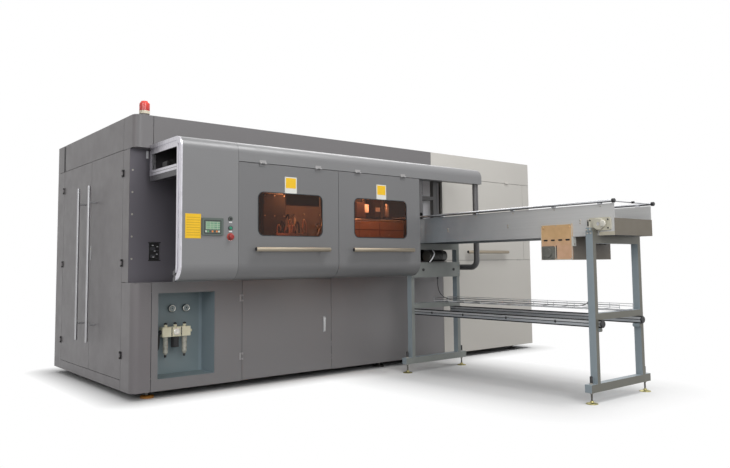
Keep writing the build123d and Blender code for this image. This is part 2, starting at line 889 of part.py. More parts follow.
# Lift-up hood doors, their windows and their bars
door_spans = [
    (hood_split_left, hood_split_middle - seam / 2),
    (hood_split_middle + seam / 2, hood_split_right),
]
door_top = hood_lip - hood_seam
sides = ("left", "right")
for side, span, middle, places in zip(sides, door_spans, hood_door_middles, hood_hinges):
    with BuildPart() as hood_door:
        hood_tray(span[0], span[1], hood_low, door_top)
        with BuildSketch(facing_front(-hood_reach + sheet)):
            with Locations((middle, window_middle)):
                RectangleRounded(window_width, window_height, window_corner)
        extrude(amount=sheet, mode=Mode.SUBTRACT)
        for place in places:
            with Locations(place):
                add(hinge_moving.part)
    write(hood_door, f"hood_door_{side}")

    with BuildPart() as window:
        pane_face = -hood_reach + sheet
        with BuildSketch(facing_front(pane_face + pane_thickness)):
            with Locations((middle, window_middle)):
                RectangleRounded(
                    window_width + 2 * window_lap, window_height + 2 * window_lap,
                    window_corner + window_lap,
                )
        extrude(amount=pane_thickness)
    write(window, f"window_{side}")

    with BuildPart() as hood_bar:
        level_bar(middle, hood_bar_length, -hood_reach)
    write(hood_bar, f"hood_bar_{side}")

# Operator panel: bezel with a sunk screen, and three button collars
panel_middle = ((panel_left + panel_right) / 2, (panel_bottom + panel_top) / 2)
button_places = [(button_x, z) for z in (black_button_z, green_button_z, stop_button_z)]
hood_face = facing_front(-hood_reach)
with BuildPart() as operator_panel:
    with BuildSketch(hood_face):
        with Locations(panel_middle):
            RectangleRounded(panel_right - panel_left, panel_top - panel_bottom, 6)
    extrude(amount=panel_depth)
    with BuildSketch(hood_face.offset(panel_depth - 2)):
        with Locations((panel_middle[0], panel_middle[1] + 8)):
            Rectangle(120, 62)
    extrude(amount=2, mode=Mode.SUBTRACT)
    with BuildSketch(hood_face):
        with Locations(*button_places):
            Circle(collar_radius)
            Circle(button_radius + sliding_gap, mode=Mode.SUBTRACT)
    extrude(amount=collar_height)
write(operator_panel, "operator_panel")

for name, z in (("button_black", black_button_z), ("button_green", green_button_z)):
    with BuildPart() as button:
        with BuildSketch(hood_face.offset(-button_tail)):
            with Locations((button_x, z)):
                Circle(button_radius)
        extrude(amount=button_tail + collar_height + button_proud)
        chamfer(button.faces().sort_by(Axis.Y)[0].edges(), 1)
    write(button, name)

with BuildPart() as stop_button:
    with BuildSketch(hood_face.offset(-button_tail)):
        with Locations((button_x, stop_button_z)):
            Circle(button_radius)
    extrude(amount=button_tail + collar_height + stop_lift)
    with BuildSketch(hood_face.offset(collar_height + stop_lift)):
        with Locations((button_x, stop_button_z)):
            Circle(stop_radius)
    extrude(amount=stop_height)
    chamfer(stop_button.faces().sort_by(Axis.Y)[0].edges(), 6)
    chamfer(stop_button.faces().sort_by(Axis.Y)[0].edges(), 2)
write(stop_button, "stop_button")

# Beacon: a turned foot with a pale ring, and a domed red lens
beacon_low = cabinet_height
beacon_ring_top = beacon_low + beacon_foot_height + beacon_ring_height
with BuildPart() as beacon_foot:
    rod_z(beacon_x, beacon_y, (beacon_low, beacon_low + beacon_foot_height), beacon_radius - 5)
    rod_z(beacon_x, beacon_y, (beacon_low + beacon_foot_height, beacon_ring_top), beacon_radius)
    chamfer(beacon_foot.faces().sort_by(Axis.Z)[-1].edges(), 2)
write(beacon_foot, "beacon_foot")

with BuildPart() as beacon_dome:
    dome_top = beacon_ring_top + beacon_dome_height
    rod_z(beacon_x, beacon_y, (beacon_ring_top, dome_top), beacon_radius - 2)
    chamfer(beacon_dome.faces().sort_by(Axis.Z)[-1].edges(), length=22, length2=14)
    chamfer(beacon_dome.faces().sort_by(Axis.Z)[-1].edges(), length=4, length2=10)
write(beacon_dome, "beacon_dome")

# Bent tube from the cabinet front to the canopy, and the dark posts of the outfeed bay
with BuildPart() as bay_frame:
    with BuildLine():
        FilletPolyline(
            at(post_tube_x, 0, post_tube_z),
            at(post_tube_x, post_tube_y, post_tube_z),
            at(post_tube_x, post_tube_y, hood_lip),
            radius=post_bend,
        )
    with BuildSketch(facing_front(0)):
        with Locations((post_tube_x, post_tube_z)):
            Circle(post_tube_radius)
    sweep()
    bay_front = (-bay_tube, 0)
    bay_z = (lower_height, hood_top - hood_wall)
    block((bay_left_x - bay_tube / 2, bay_left_x + bay_tube / 2), bay_front, bay_z)
    right_tube = bay_right_tube / 2
    block((bay_right_x - right_tube, bay_right_x + right_tube), (-bay_right_tube, 0), bay_z)
    bar_z = (bay_bar_z - 20, bay_bar_z + 20)
    block((bay_bar_left, bay_left_x - bay_tube / 2), bay_front, bar_z)
    block((bay_bar_left - bay_tube + 10, bay_bar_left), bay_front, bay_z)
    block(
        (jamb_x - jamb_tube / 2, jamb_x + jamb_tube / 2), (jamb_y - jamb_tube / 2, jamb_y + jamb_tube / 2),
        (hood_lip - jamb_length, hood_lip),
    )
write(bay_frame, "bay_frame")

# Air treatment set: three bodies on a bracket, two bowls below and small knobs on top
air_places = [air_x - air_pitch, air_x, air_x + air_pitch]
air_low = air_z - air_body / 2
air_high = air_z + air_body / 2
stem_radius = 10
stem_length = 44
with BuildPart() as air_unit:
    body_y = (air_y - air_depth / 2, air_y + air_depth / 2)
    for x in air_places:
        block((x - air_body / 2, x + air_body / 2), body_y, (air_low, air_high))
        rod_z(x, air_y, (air_high, air_high + 20), 14)
    rod_x((air_places[0], air_places[2] + air_body / 2 + 24), air_y, air_z, 12)
    block((air_x - 40, air_x + 40), (body_y[1], alcove_depth), (air_z - 20, air_z + 20))
    for x in (air_places[0], air_places[2]):
        rod_z(x, air_y, (air_low - bowl_length, air_low), bowl_radius)
    chamfer(air_unit.edges().filter_by(GeomType.CIRCLE).group_by(Axis.Z)[0], length=16, length2=11)
    rod_z(air_x, air_y, (air_low - stem_length, air_low), stem_radius)
write(air_unit, "air_unit")

with BuildPart() as regulator_knob:
    knob_top = air_low - knob_gap
    rod_z(air_x, air_y, (knob_top - knob_length, knob_top), knob_radius)
    chamfer(regulator_knob.edges().filter_by(GeomType.CIRCLE), 3)
    with Locations(at(air_x, air_y, knob_top - knob_length / 2)):
        with PolarLocations(knob_radius + 1, 20):
            Cylinder(3, knob_length, mode=Mode.SUBTRACT)
    bore = (knob_top - stem_length - 2, knob_top)
    rod_z(air_x, air_y, bore, stem_radius + sliding_gap, mode=Mode.SUBTRACT)
write(regulator_knob, "regulator_knob")

with BuildPart() as pressure_gauges:
    for x in (gauge_left, gauge_right):
        rod_y(x, (alcove_depth - gauge_depth, alcove_depth), gauge_z, gauge_radius)
        face = (alcove_depth - gauge_depth, alcove_depth - gauge_depth + 2)
        rod_y(x, face, gauge_z, gauge_radius - 4, mode=Mode.SUBTRACT)
write(pressure_gauges, "pressure_gauges")

# Conveyor frame: two deep side plates, cross tubes and the bed under the upper belt run
side_left = conveyor_x - conveyor_width / 2
side_right = conveyor_x + conveyor_width / 2
plate_left = (side_left, side_left + side_thickness)
plate_right = (side_right - side_thickness, side_right)
drum_places = (drive_drum_y, tail_drum_y)
belt_inside = drum_radius + running_gap
bed_high = drum_z + drum_radius
bed_low = bed_high - bed_thickness
with BuildPart() as conveyor_frame:
    for plate in (plate_left, plate_right):
        block(plate, (-conveyor_outer_end, conveyor_inner_end), (side_bottom, side_top))
    for y in drum_places:
        rod_x((side_left, side_right), y, drum_z, shaft_radius + 3, mode=Mode.SUBTRACT)
    between_plates = (plate_left[1] + weld_gap, plate_right[0] - weld_gap)
    for y in cross_tube_places:
        cross_y = (y - cross_tube / 2, y + cross_tube / 2)
        block(between_plates, cross_y, (bed_low - cross_tube, bed_low - weld_gap))
    bed_ends = (drive_drum_y + 1.3 * drum_radius, tail_drum_y - 1.3 * drum_radius)
    block((conveyor_x - belt_width / 2, conveyor_x + belt_width / 2), bed_ends, (bed_low, bed_high))
write(conveyor_frame, "conveyor_frame")

# Guide rails on short brackets outside the side plates, joined across at the outer end
rail_left = side_left - rail_clearance - rail_radius
rail_right = side_right + rail_clearance + rail_radius
tie_y = 15 - rail_outer_end
with BuildPart() as guide_rails:
    for x, plate in ((rail_left, plate_left), (rail_right, plate_right)):
        rod_y(x, (-rail_outer_end, rail_inner_end), rail_z, rail_radius)
        bracket = (min(x, plate[0]), max(x, plate[1]))
        for y in range(-2480, rail_inner_end, 420):
            block(bracket, (y - 15, y + 15), (side_top, rail_z - rail_radius / 2))
    rod_x((rail_left, rail_right), tie_y, rail_z, 5)
write(guide_rails, "guide_rails")

# Black end caps of the guide rails and the lower rails, and the knob on the tie rod
lower_rail_near = frame_half - leg_x - rail_width
lower_rail_far = frame_half - leg_x
lower_rail_top = mid_bar_bottom
lower_rail_low = lower_rail_top - rail_height
lower_rail_ends = (outer_frame_y - 49, inner_frame_y + 39)
lower_rail_sides = [
    (conveyor_x - lower_rail_far, conveyor_x - lower_rail_near),
    (conveyor_x + lower_rail_near, conveyor_x + lower_rail_far),
]
with BuildPart() as end_caps:
    for x in (rail_left, rail_right):
        rod_y(x, (-rail_outer_end - cap_length, -rail_outer_end), rail_z, cap_radius)
    chamfer(end_caps.faces().group_by(Axis.Y)[0].edges(), 4)
    rod_y(conveyor_x + 5, (tie_y - 25, tie_y - 5), rail_z, 9)
    for side in lower_rail_sides:
        block(side, (lower_rail_ends[0] - 6, lower_rail_ends[0]), (lower_rail_low, lower_rail_top))
        block(side, (lower_rail_ends[1], lower_rail_ends[1] + 6), (lower_rail_low, lower_rail_top))
write(end_caps, "end_caps")

with BuildPart() as conveyor_belt:
    belt_side = conveyor_x - belt_width / 2
    with BuildSketch(facing_right(belt_side)):
        with Locations(((drive_drum_y + tail_drum_y) / 2, drum_z)):
            span = tail_drum_y - drive_drum_y
            SlotCenterToCenter(span, 2 * (belt_inside + belt_thickness))
            SlotCenterToCenter(span, 2 * belt_inside, mode=Mode.SUBTRACT)
    extrude(amount=belt_width)
write(conveyor_belt, "conveyor_belt")

bearing_outside = bearing_plate + bearing_boss_length
for name, y in (("drive_drum", drive_drum_y), ("tail_drum", tail_drum_y)):
    with BuildPart() as drum:
        half_drum = belt_width / 2 + 5
        rod_x((conveyor_x - half_drum, conveyor_x + half_drum), y, drum_z, drum_radius)
        chamfer(drum.edges().filter_by(GeomType.CIRCLE), 3)
        shaft_ends = (side_left - bearing_outside + 4, side_right + bearing_outside - 4)
        rod_x(shaft_ends, y, drum_z, shaft_radius)
    write(drum, name)

# Flanged bearing housing, made once on its side plate and set at each shaft end
with BuildPart() as bearing:
    Box(bearing_width, bearing_height, bearing_plate, align=(Align.CENTER, Align.CENTER, Align.MIN))
    fillet(bearing.edges().filter_by(Axis.Z), 18)
    Cylinder(bearing_boss_radius, bearing_outside, align=(Align.CENTER, Align.CENTER, Align.MIN))
    chamfer(bearing.faces().sort_by(Axis.Z)[-1].edges(), 4)
    with Locations((0, 0, bearing_plate)):
        with GridLocations(bearing_width - 36, bearing_height - 36, 2, 2):
            Cylinder(8, 6, align=(Align.CENTER, Align.CENTER, Align.MIN))
    Cylinder(shaft_radius + shaft_clearance, 3 * bearing_outside, mode=Mode.SUBTRACT)

with BuildPart() as bearing_housings:
    for y in drum_places:
        for x, out in ((side_left, -1), (side_right, 1)):
            place = Plane(origin=at(x, y, drum_z), x_dir=(0, 1, 0), z_dir=(out, 0, 0))
            with Locations(place.location):
                add(bearing.part)
write(bearing_housings, "bearing_housings")

# Folded end cover that grips the side plates, and the drive housing hanging under the conveyor
cover_back = -conveyor_outer_end
with BuildPart() as drive_covers:
    block(
        (side_left - sheet, side_right + sheet), (cover_back - sheet, cover_back),
        (side_bottom, cover_top),
    )
    flange_y_span = (cover_back, cover_back + cover_flange_length)
    for flange_x in ((side_left - sheet, side_left), (side_right, side_right + sheet)):
        block(flange_x, flange_y_span, (side_bottom, side_bottom + cover_flange_height))
    block((side_left, side_right), (plate_outer_y, plate_inner_y), (plate_bottom, side_bottom))
    block(
        (side_left + sheet, side_right - sheet), (plate_outer_y + sheet, plate_inner_y - sheet),
        (plate_bottom + sheet, side_bottom), mode=Mode.SUBTRACT,
    )
    rod_x((side_left, side_left + sheet), flange_y, flange_z, spigot_radius + 5, mode=Mode.SUBTRACT)
write(drive_covers, "drive_covers")

# Drive plate with its row of slots, screws and the hole of the gearbox spigot
with BuildPart() as drive_plate:
    plate_span = (plate_outer_y, plate_inner_y)
    block((side_left - plate_thickness, side_left), plate_span, (plate_bottom, plate_top))
    with BuildSketch(facing_right(side_left - plate_thickness)):
        with Locations(((plate_outer_y + plate_inner_y) / 2, plate_slot_z)):
            with GridLocations(70, 0, 4, 1):
                SlotOverall(44, 14)
        with Locations((flange_y, flange_z)):
            Circle(spigot_radius + running_gap)
    extrude(amount=plate_thickness, mode=Mode.SUBTRACT)
    screw_ys = (plate_outer_y + 25, plate_outer_y + 25, plate_inner_y - 25)
    screw_zs = (plate_bottom + 25, plate_top - 25, plate_top - 25)
    for y, z in zip(screw_ys, screw_zs):
        rod_x((side_left - plate_thickness - 6, side_left - plate_thickness), y, z, 8)
write(drive_plate, "drive_plate")

# Gear motor of the belt behind the drive plate, and the motor on the inner frame's beam
with BuildPart() as gear_motors:
    flange_face = side_left - plate_thickness
    gear_start = side_left + sheet + 2
    with BuildSketch(facing_right(flange_face - flange_thickness)):
        with Locations((flange_y, flange_z)):
            RectangleRounded(flange_size, flange_height, 12)
    extrude(amount=flange_thickness)
    boss = (flange_face - flange_thickness - flange_boss_length, flange_face - flange_thickness)
    rod_x(boss, flange_y, flange_z, flange_boss_radius)
    rod_x((flange_face, gear_start), flange_y, flange_z, spigot_radius)
    half_gear = gear_size / 2
    block(
        (gear_start, gear_start + gear_size), (flange_y - half_gear, flange_y + half_gear),
        (flange_z - half_gear, flange_z + half_gear),
    )
    motor_start = gear_start + gear_size
    rod_x((motor_start, motor_start + motor_length), flange_y, flange_z, motor_radius - 5)
    for y in (flange_y - 45, flange_y + 45):
        for z in (flange_z - 40, flange_z + 40):
            rod_x((flange_face - flange_thickness - 6, flange_face - flange_thickness), y, z, 7)
    beam_front = inner_frame_y - leg_y / 2
    block((conveyor_x - 100, conveyor_x + 100), (beam_front - 55, beam_front + 45), (beam_top, beam_top + 8))
    rod_x((conveyor_x - 140, conveyor_x + 110), beam_front - 5, beam_top + 8 + motor_radius, motor_radius)
write(gear_motors, "gear_motors")

# The two leg frames: foot bar, legs, middle bar, top bar and the clamps to the side plates
cross_bar_low = side_bottom - 60
frame_left = conveyor_x - frame_half
frame_right = conveyor_x + frame_half
with BuildPart() as leg_frames:
    for y in (outer_frame_y, inner_frame_y):
        deep = (y - leg_y / 2, y + leg_y / 2)
        inner = (frame_left + leg_x, frame_right - leg_x)
        block(
            (conveyor_x - foot_bar_half, conveyor_x + foot_bar_half), deep,
            (foot_bar_bottom, foot_bar_bottom + leg_y),
        )
        for leg in ((frame_left, inner[0]), (inner[1], frame_right)):
            block(leg, deep, (foot_bar_bottom + leg_y, leg_top))
        block(inner, deep, (mid_bar_bottom, mid_bar_bottom + mid_bar_height))
        block(inner, deep, (cross_bar_low, side_bottom))
        for clamp in ((inner[0], side_left), (side_right, inner[1])):
            block(clamp, deep, (side_bottom, leg_top))
        for side in (-1, 1):
            hole = (foot_bar_bottom, foot_bar_bottom + leg_y)
            rod_z(conveyor_x + side * leg_foot_half, y, hole, stud_radius + 0.3, mode=Mode.SUBTRACT)
    beam = (beam_front - beam_thickness, beam_front)
    block((frame_left, frame_right), beam, (beam_bottom, beam_top))
    for x in (frame_left + 20, frame_right - 20):
        for z in (beam_bottom + 30, beam_top - 30):
            rod_y(x, (beam[0] - 6, beam[0]), z, 8)
    block((conveyor_x + 20, conveyor_x + 50), (beam[1], beam[1] + 26), (beam_bottom, beam_bottom + 30))
write(leg_frames, "leg_frames")

with BuildPart() as lower_rails:
    for side in lower_rail_sides:
        block(side, lower_rail_ends, (lower_rail_low, lower_rail_top))
    middle_z = (lower_rail_low + lower_rail_top) / 2
    slot_z = (middle_z - rail_slot / 2, middle_z + rail_slot / 2)
    for side in lower_rail_sides:
        for low, high in ((side[0], side[0] + 4), (side[1] - 4, side[1])):
            block((low, high), lower_rail_ends, slot_z, mode=Mode.SUBTRACT)
write(lower_rails, "lower_rails")

# Wire cable tray on the middle bars: long wires below, cross wires and side wires over them
tray_low = mid_bar_bottom + mid_bar_height
tray_sides = (tray_x - tray_width / 2, tray_x + tray_width / 2)
cross_z = tray_low + 1.5 * wire + weld_gap
tray_span = tray_inner_y - tray_outer_y
hoop_count = int(tray_span / (2 * wire_pitch)) + 1
hoop_places = [tray_outer_y + 5 + i * (tray_span - 10) / (hoop_count - 1) for i in range(hoop_count)]
with BuildPart() as cable_tray:
    for x in (tray_sides[0] + 30, tray_x, tray_sides[1] - 30):
        rod_y(x, (tray_outer_y, tray_inner_y), tray_low + wire / 2, wire / 2)
    for y in hoop_places:
        rod_x(tray_sides, y, cross_z, wire / 2)
        for x in tray_sides:
            rod_z(x, y, (cross_z, cross_z + tray_height), wire / 2)
    for x, side in ((tray_sides[0], -1), (tray_sides[1], 1)):
        for z in (cross_z + tray_height / 2, cross_z + tray_height - 4):
            rod_y(x + side * (wire + weld_gap), (tray_outer_y, tray_inner_y), z, wire / 2)
write(cable_tray, "cable_tray")


def bend_radii(points):
    """The widest bend at each inner point that leaves a straight piece between neighbours."""
    radii = []
    for before, here, after in zip(points[:-2], points[1:-1], points[2:]):
        run_in = Vector(*here) - Vector(*before)
        run_out = Vector(*after) - Vector(*here)
        turn = math.radians(run_in.get_angle(run_out))
        radii.append(0.45 * min(run_in.length, run_out.length) / math.tan(turn / 2))
    return radii


# Drive cable: down from the beam, along the tray floor, and up into the drive housing
cable_z = cross_z + wire / 2 + cable_radius + 0.2
gland_x = conveyor_x + 35
gland_y = beam_front + 13
cable_points = [
    at(gland_x, gland_y, beam_bottom - gland_length),
    at(gland_x + 2, gland_y + 3, 830),
    at(gland_x + 18, gland_y - 6, 762),
    at(gland_x + 52, gland_y - 42, 712),
    at(gland_x + 96, gland_y - 106, cable_z + 7),
]
tray_steps = 14
tray_start = -610
for i in range(tray_steps):
    step_y = tray_start + i * (cable_rise_y + 130 - tray_start) / (tray_steps - 1)
    sway = 7 * math.sin(1.9 * i)
    lift = 1 + math.sin(2.3 * i)
    cable_points.append(at(cable_rise_x + sway, step_y, cable_z + lift))
cable_points += [
    at(cable_rise_x - 4, cable_rise_y + 48, cable_z + 22),
    at(cable_rise_x + 2, cable_rise_y + 6, 776),
    at(cable_rise_x + 7, cable_rise_y - 4, 866),
    at(cable_rise_x - 3, cable_rise_y + 3, 958),
    at(cable_rise_x, cable_rise_y, plate_bottom - gland_length),
]
cable_bends = bend_radii(cable_points)
print("drive cable bend radii", [round(radius) for radius in cable_bends])
with BuildPart() as drive_cable:
    with BuildLine():
        cable_run = FilletPolyline(*cable_points, radius=cable_bends)
    with BuildSketch(Plane(origin=cable_run @ 0, z_dir=cable_run % 0)):
        Circle(cable_radius)
    sweep()
    rod_z(gland_x, gland_y, (beam_bottom - gland_length, beam_bottom), gland_radius)
    rod_z(cable_rise_x, cable_rise_y, (plate_bottom - gland_length, plate_bottom), gland_radius)
write(drive_cable, "drive_cable")

# Process bed: deck on columns, transport rail on two stands, and props under the conveyor
rail_y = transport_y + transport_size + sliding_gap
transport_z = mould_top + 4
with BuildPart() as machine_bed:
    block((bed_left, bed_right), (bed_front, bed_back), (bed_top - bed_plate, bed_top))
    for x in deck_columns:
        for y in (bed_column_front, bed_column_back):
            column = (base_high, bed_top - bed_plate - weld_gap)
            block((x - tube / 2, x + tube / 2), (y - tube / 2, y + tube / 2), column)
    stand = (rail_y, rail_y + tube)
    for x in (rail_stand_left, rail_stand_right):
        block((x - tube / 2, x + tube / 2), stand, (bed_top + weld_gap, transport_z - weld_gap))
    rail_span = (rail_stand_left - tube / 2, rail_stand_right + tube / 2)
    block(rail_span, stand, (transport_z, transport_z + transport_size))
    for x in (side_left + 10, side_right - 10):
        block((x - tube / 2, x + tube / 2), (480, 540), (bed_top + weld_gap, side_bottom))
write(machine_bed, "machine_bed")

# Air receiver lying under the deck on two saddles
with BuildPart() as air_receiver:
    ends = (deck_columns[0] - 60, deck_columns[1] + 85)
    rod_x(ends, receiver_y, receiver_z, receiver_radius)
    chamfer(air_receiver.edges().filter_by(GeomType.CIRCLE), 48)
    for x in deck_columns[:2]:
        saddle = (receiver_y - 110, receiver_y + 110)
        block((x - 20, x + 20), saddle, (base_high, receiver_z - 60))
    rod_z(ends[0] + receiver_neck_offset, receiver_y, (receiver_z, receiver_z + receiver_radius + 40), 20)
write(air_receiver, "air_receiver")

# Blow clamp frame: two end plates, four tie bars, two cylinders, bridge, nozzles and columns
clamp_half = platen_width / 2 + plate_overhang
plates = [
    (end_plate_front, end_plate_front + end_plate),
    (end_plate_back - end_plate, end_plate_back),
]
clamp_z = (mould_bottom + mould_top) / 2
cavity_places = [blow_x + i * cavity_pitch for i in (-1, 0, 1)]
bridge_low = end_plate_top
bridge_high = bridge_low + bridge_thickness
ram_bore = ram_radius + shaft_clearance
across = (blow_x - clamp_half, blow_x + clamp_half)
with BuildPart() as clamp_frame:
    for plate in plates:
        block(across, plate, (bed_top, end_plate_top - weld_gap))
        rod_y(blow_x, plate, clamp_z, ram_bore, mode=Mode.SUBTRACT)
    for side in (-1, 1):
        for z in (tie_low, tie_high):
            tie_span = (plates[0][1] + weld_gap, plates[1][0] - weld_gap)
            rod_y(blow_x + side * tie_half_x, tie_span, z, tie_radius)
    cylinders = [
        (end_plate_front - cylinder_length, end_plate_front - weld_gap),
        (end_plate_back + weld_gap, end_plate_back + cylinder_length),
    ]
    chambers = [
        (cylinders[0][0] + cylinder_wall, end_plate_front),
        (end_plate_back, cylinders[1][1] - cylinder_wall),
    ]
    for barrel, chamber in zip(cylinders, chambers):
        rod_y(blow_x, barrel, clamp_z, cylinder_radius)
        rod_y(blow_x, chamber, clamp_z, cylinder_radius - cylinder_wall, mode=Mode.SUBTRACT)
    block(across, (end_plate_front, end_plate_back), (bridge_low, bridge_high))
    for x in cavity_places:
        rod_z(x, blow_y, (nozzle_bottom, bridge_low - weld_gap), nozzle_radius)
        hole = (nozzle_bottom, bridge_high)
        rod_z(x, blow_y, hole, stretch_radius + sliding_gap, mode=Mode.SUBTRACT)
    for side in (-1, 1):
        column_z = (bridge_high + weld_gap, guide_top)
        rod_z(blow_x + side * guide_half, blow_y, column_z, guide_radius)
    lift_top = bed_top + base_cylinder_height
    rod_z(blow_x, blow_y, (bed_top, lift_top), 2.5 * base_ram_radius)
    lift_bore = base_ram_radius + shaft_clearance
    rod_z(blow_x, blow_y, (bed_top + 5, lift_top), lift_bore, mode=Mode.SUBTRACT)
write(clamp_frame, "clamp_frame")

# Bottle shape of one cavity, cut as half rounds into both moulds
with BuildPart() as bottle:
    shoulder_low = mould_top - neck_height - shoulder_height
    with BuildSketch(Plane.XZ):
        with BuildLine():
            foot = Line((0, mould_bottom), (bottle_radius, mould_bottom))
            wall = Line(foot @ 1, (bottle_radius, shoulder_low))
            neck_start = (neck_radius, mould_top - neck_height)
            slope = (0.72 * bottle_radius, shoulder_low + 0.45 * shoulder_height)
            shoulder = Polyline(wall @ 1, slope, neck_start)
            neck = Line(shoulder @ 1, (neck_radius, mould_top))
            Polyline(neck @ 1, (0, mould_top), foot @ 0)
        make_face()
    revolve(axis=Axis.Z)

for name, towards in (("front_mould", -1), ("rear_mould", 1)):
    with BuildPart() as mould:
        face_y = blow_y + towards * mould_stroke
        back_y = face_y + towards * mould_depth
        platen_y = back_y + towards * platen_depth
        block(
            (blow_x - mould_width / 2, blow_x + mould_width / 2), sorted((face_y, back_y)),
            (mould_bottom, mould_top),
        )
        block(
            (blow_x - platen_width / 2, blow_x + platen_width / 2), sorted((back_y, platen_y)),
            (platen_bottom, mould_top),
        )
        chamfer(mould.edges().filter_by(Axis.Z), 3)
        for x in cavity_places:
            with Locations((left_x + x, front_y + face_y, 0)):
                add(bottle.part, mode=Mode.SUBTRACT)
        for side in (-1, 1):
            for z in (tie_low, tie_high):
                guide_hole = tie_radius + sliding_gap
                tie_x = blow_x + side * tie_half_x
                rod_y(tie_x, sorted((back_y, platen_y)), z, guide_hole, mode=Mode.SUBTRACT)
        ram_end = end_plate_front - 85 if towards < 0 else end_plate_back + 85
        rod_y(blow_x, sorted((platen_y, ram_end)), clamp_z, ram_radius)
    write(mould, name)

# Stretch carriage: a plate on two columns with a rod for each cavity
with BuildPart() as stretch_carriage:
    plate_z = (carriage_z, carriage_z + carriage_thickness)
    block((blow_x - 300, blow_x + 300), (blow_y - 60, blow_y + 60), plate_z)
    fillet(stretch_carriage.edges().filter_by(Axis.Z), 15)
    for side in (-1, 1):
        column_x = blow_x + side * guide_half
        rod_z(column_x, blow_y, plate_z, guide_radius + sliding_gap, mode=Mode.SUBTRACT)
    for x in cavity_places:
        rod_z(x, blow_y, (stretch_tip, carriage_z), stretch_radius)
write(stretch_carriage, "stretch_carriage")

# Base lift: a plate with an insert for each cavity on one ram
with BuildPart() as base_mould:
    base_plate_top = base_plate_z + base_plate
    block((blow_x - 290, blow_x + 290), (blow_y - 55, blow_y + 55), (base_plate_z, base_plate_top))
    fillet(base_mould.edges().filter_by(Axis.Z), 12)
    for x in cavity_places:
        rod_z(x, blow_y, (base_plate_top, base_insert_top), base_insert_radius)
    rod_z(blow_x, blow_y, (bed_top + 20, base_plate_z), base_ram_radius)
write(base_mould, "base_mould")

# Transport beam with a fork of two tines for each preform neck
with BuildPart() as transport_beam:
    beam_span = (transport_left, transport_left + transport_length)
    beam_z = (transport_z, transport_z + transport_size)
    block(beam_span, (transport_y, transport_y + transport_size), beam_z)
    finger_z = (transport_z, transport_z + finger_thickness)
    finger_y = (blow_y - finger_reach, transport_y - weld_gap)
    for i in range(finger_count):
        finger_x = transport_left + (i + 1) * cavity_pitch
        block((finger_x - finger_half, finger_x - finger_gap), finger_y, finger_z)
        block((finger_x + finger_gap, finger_x + finger_half), finger_y, finger_z)
write(transport_beam, "transport_beam")

# Preform oven: table on four legs, two lamp banks and the mandrel rail between them
with BuildPart() as preform_oven:
    table = (oven_base_z, oven_base_z + oven_table)
    block((oven_left, oven_right), (oven_front, oven_back), table)
    for x in oven_legs:
        for y in (oven_front + 50, oven_back - 50):
            leg = (base_high, oven_base_z - weld_gap)
            block((x - tube / 2, x + tube / 2), (y - tube / 2, y + tube / 2), leg)
    oven_z = (table[1] + weld_gap, oven_top)
    for outside, inward in ((oven_front, 1), (oven_back, -1)):
        block((oven_left, oven_right), sorted((outside, outside + inward * sheet)), oven_z)
        end_y = sorted((outside + inward * (sheet + weld_gap), outside + inward * oven_bank))
        for x in (oven_left, oven_right - sheet):
            block((x, x + sheet), end_y, oven_z)
        lamp_x = (oven_left + sheet + weld_gap, oven_right - sheet - weld_gap)
        lamp_y = outside + inward * oven_bank / 2
        for i in range(lamp_count):
            rod_x(lamp_x, lamp_y, oven_z[0] + lamp_start + i * lamp_pitch, lamp_radius)
    oven_middle = (oven_front + oven_back) / 2
    mandrel_rail = (oven_middle - mandrel_rail_width / 2, oven_middle + mandrel_rail_width / 2)
    mandrel_rail_top = mandrel_rail_z + mandrel_rail_height
    for x in (oven_left, oven_right - mandrel_rail_height):
        block((x, x + mandrel_rail_height), mandrel_rail, (table[1] + weld_gap, mandrel_rail_z - weld_gap))
    block((oven_left, oven_right), mandrel_rail, (mandrel_rail_z, mandrel_rail_top))
    mandrel_z = (mandrel_rail_top + weld_gap, mandrel_rail_top + mandrel_height)
    for i in range(int((oven_right - oven_left) / mandrel_pitch)):
        rod_z(oven_left + oven_leg_inset + i * mandrel_pitch, oven_middle, mandrel_z, mandrel_radius)
write(preform_oven, "preform_oven")
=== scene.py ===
import math

import bmesh
import bpy
from mathutils import Matrix, Vector


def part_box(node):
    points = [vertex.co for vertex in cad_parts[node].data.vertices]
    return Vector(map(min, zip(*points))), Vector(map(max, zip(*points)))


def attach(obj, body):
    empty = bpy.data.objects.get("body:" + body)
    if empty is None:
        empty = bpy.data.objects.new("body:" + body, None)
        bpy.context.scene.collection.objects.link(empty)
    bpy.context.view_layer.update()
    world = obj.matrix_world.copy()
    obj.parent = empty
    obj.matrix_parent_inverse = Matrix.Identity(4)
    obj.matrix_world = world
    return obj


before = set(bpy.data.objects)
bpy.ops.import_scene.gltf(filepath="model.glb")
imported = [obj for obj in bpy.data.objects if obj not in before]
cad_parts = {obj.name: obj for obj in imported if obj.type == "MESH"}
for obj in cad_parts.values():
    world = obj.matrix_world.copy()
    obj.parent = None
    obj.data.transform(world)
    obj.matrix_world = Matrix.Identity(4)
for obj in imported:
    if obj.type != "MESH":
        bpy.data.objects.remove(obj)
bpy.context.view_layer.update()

# Camera: it stands a metre above the floor off the left front corner, a little lower than the
# operator panel, and looks along the front to the conveyor. Its lens is slightly wide.
front_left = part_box("cover_sheets")[0]


def place(x, y, z):
    """A point in metres, from millimetres right, back and up of the cabinet's left front corner."""
    return Vector((front_left.x + x / 1000, front_left.y + y / 1000, z / 1000))


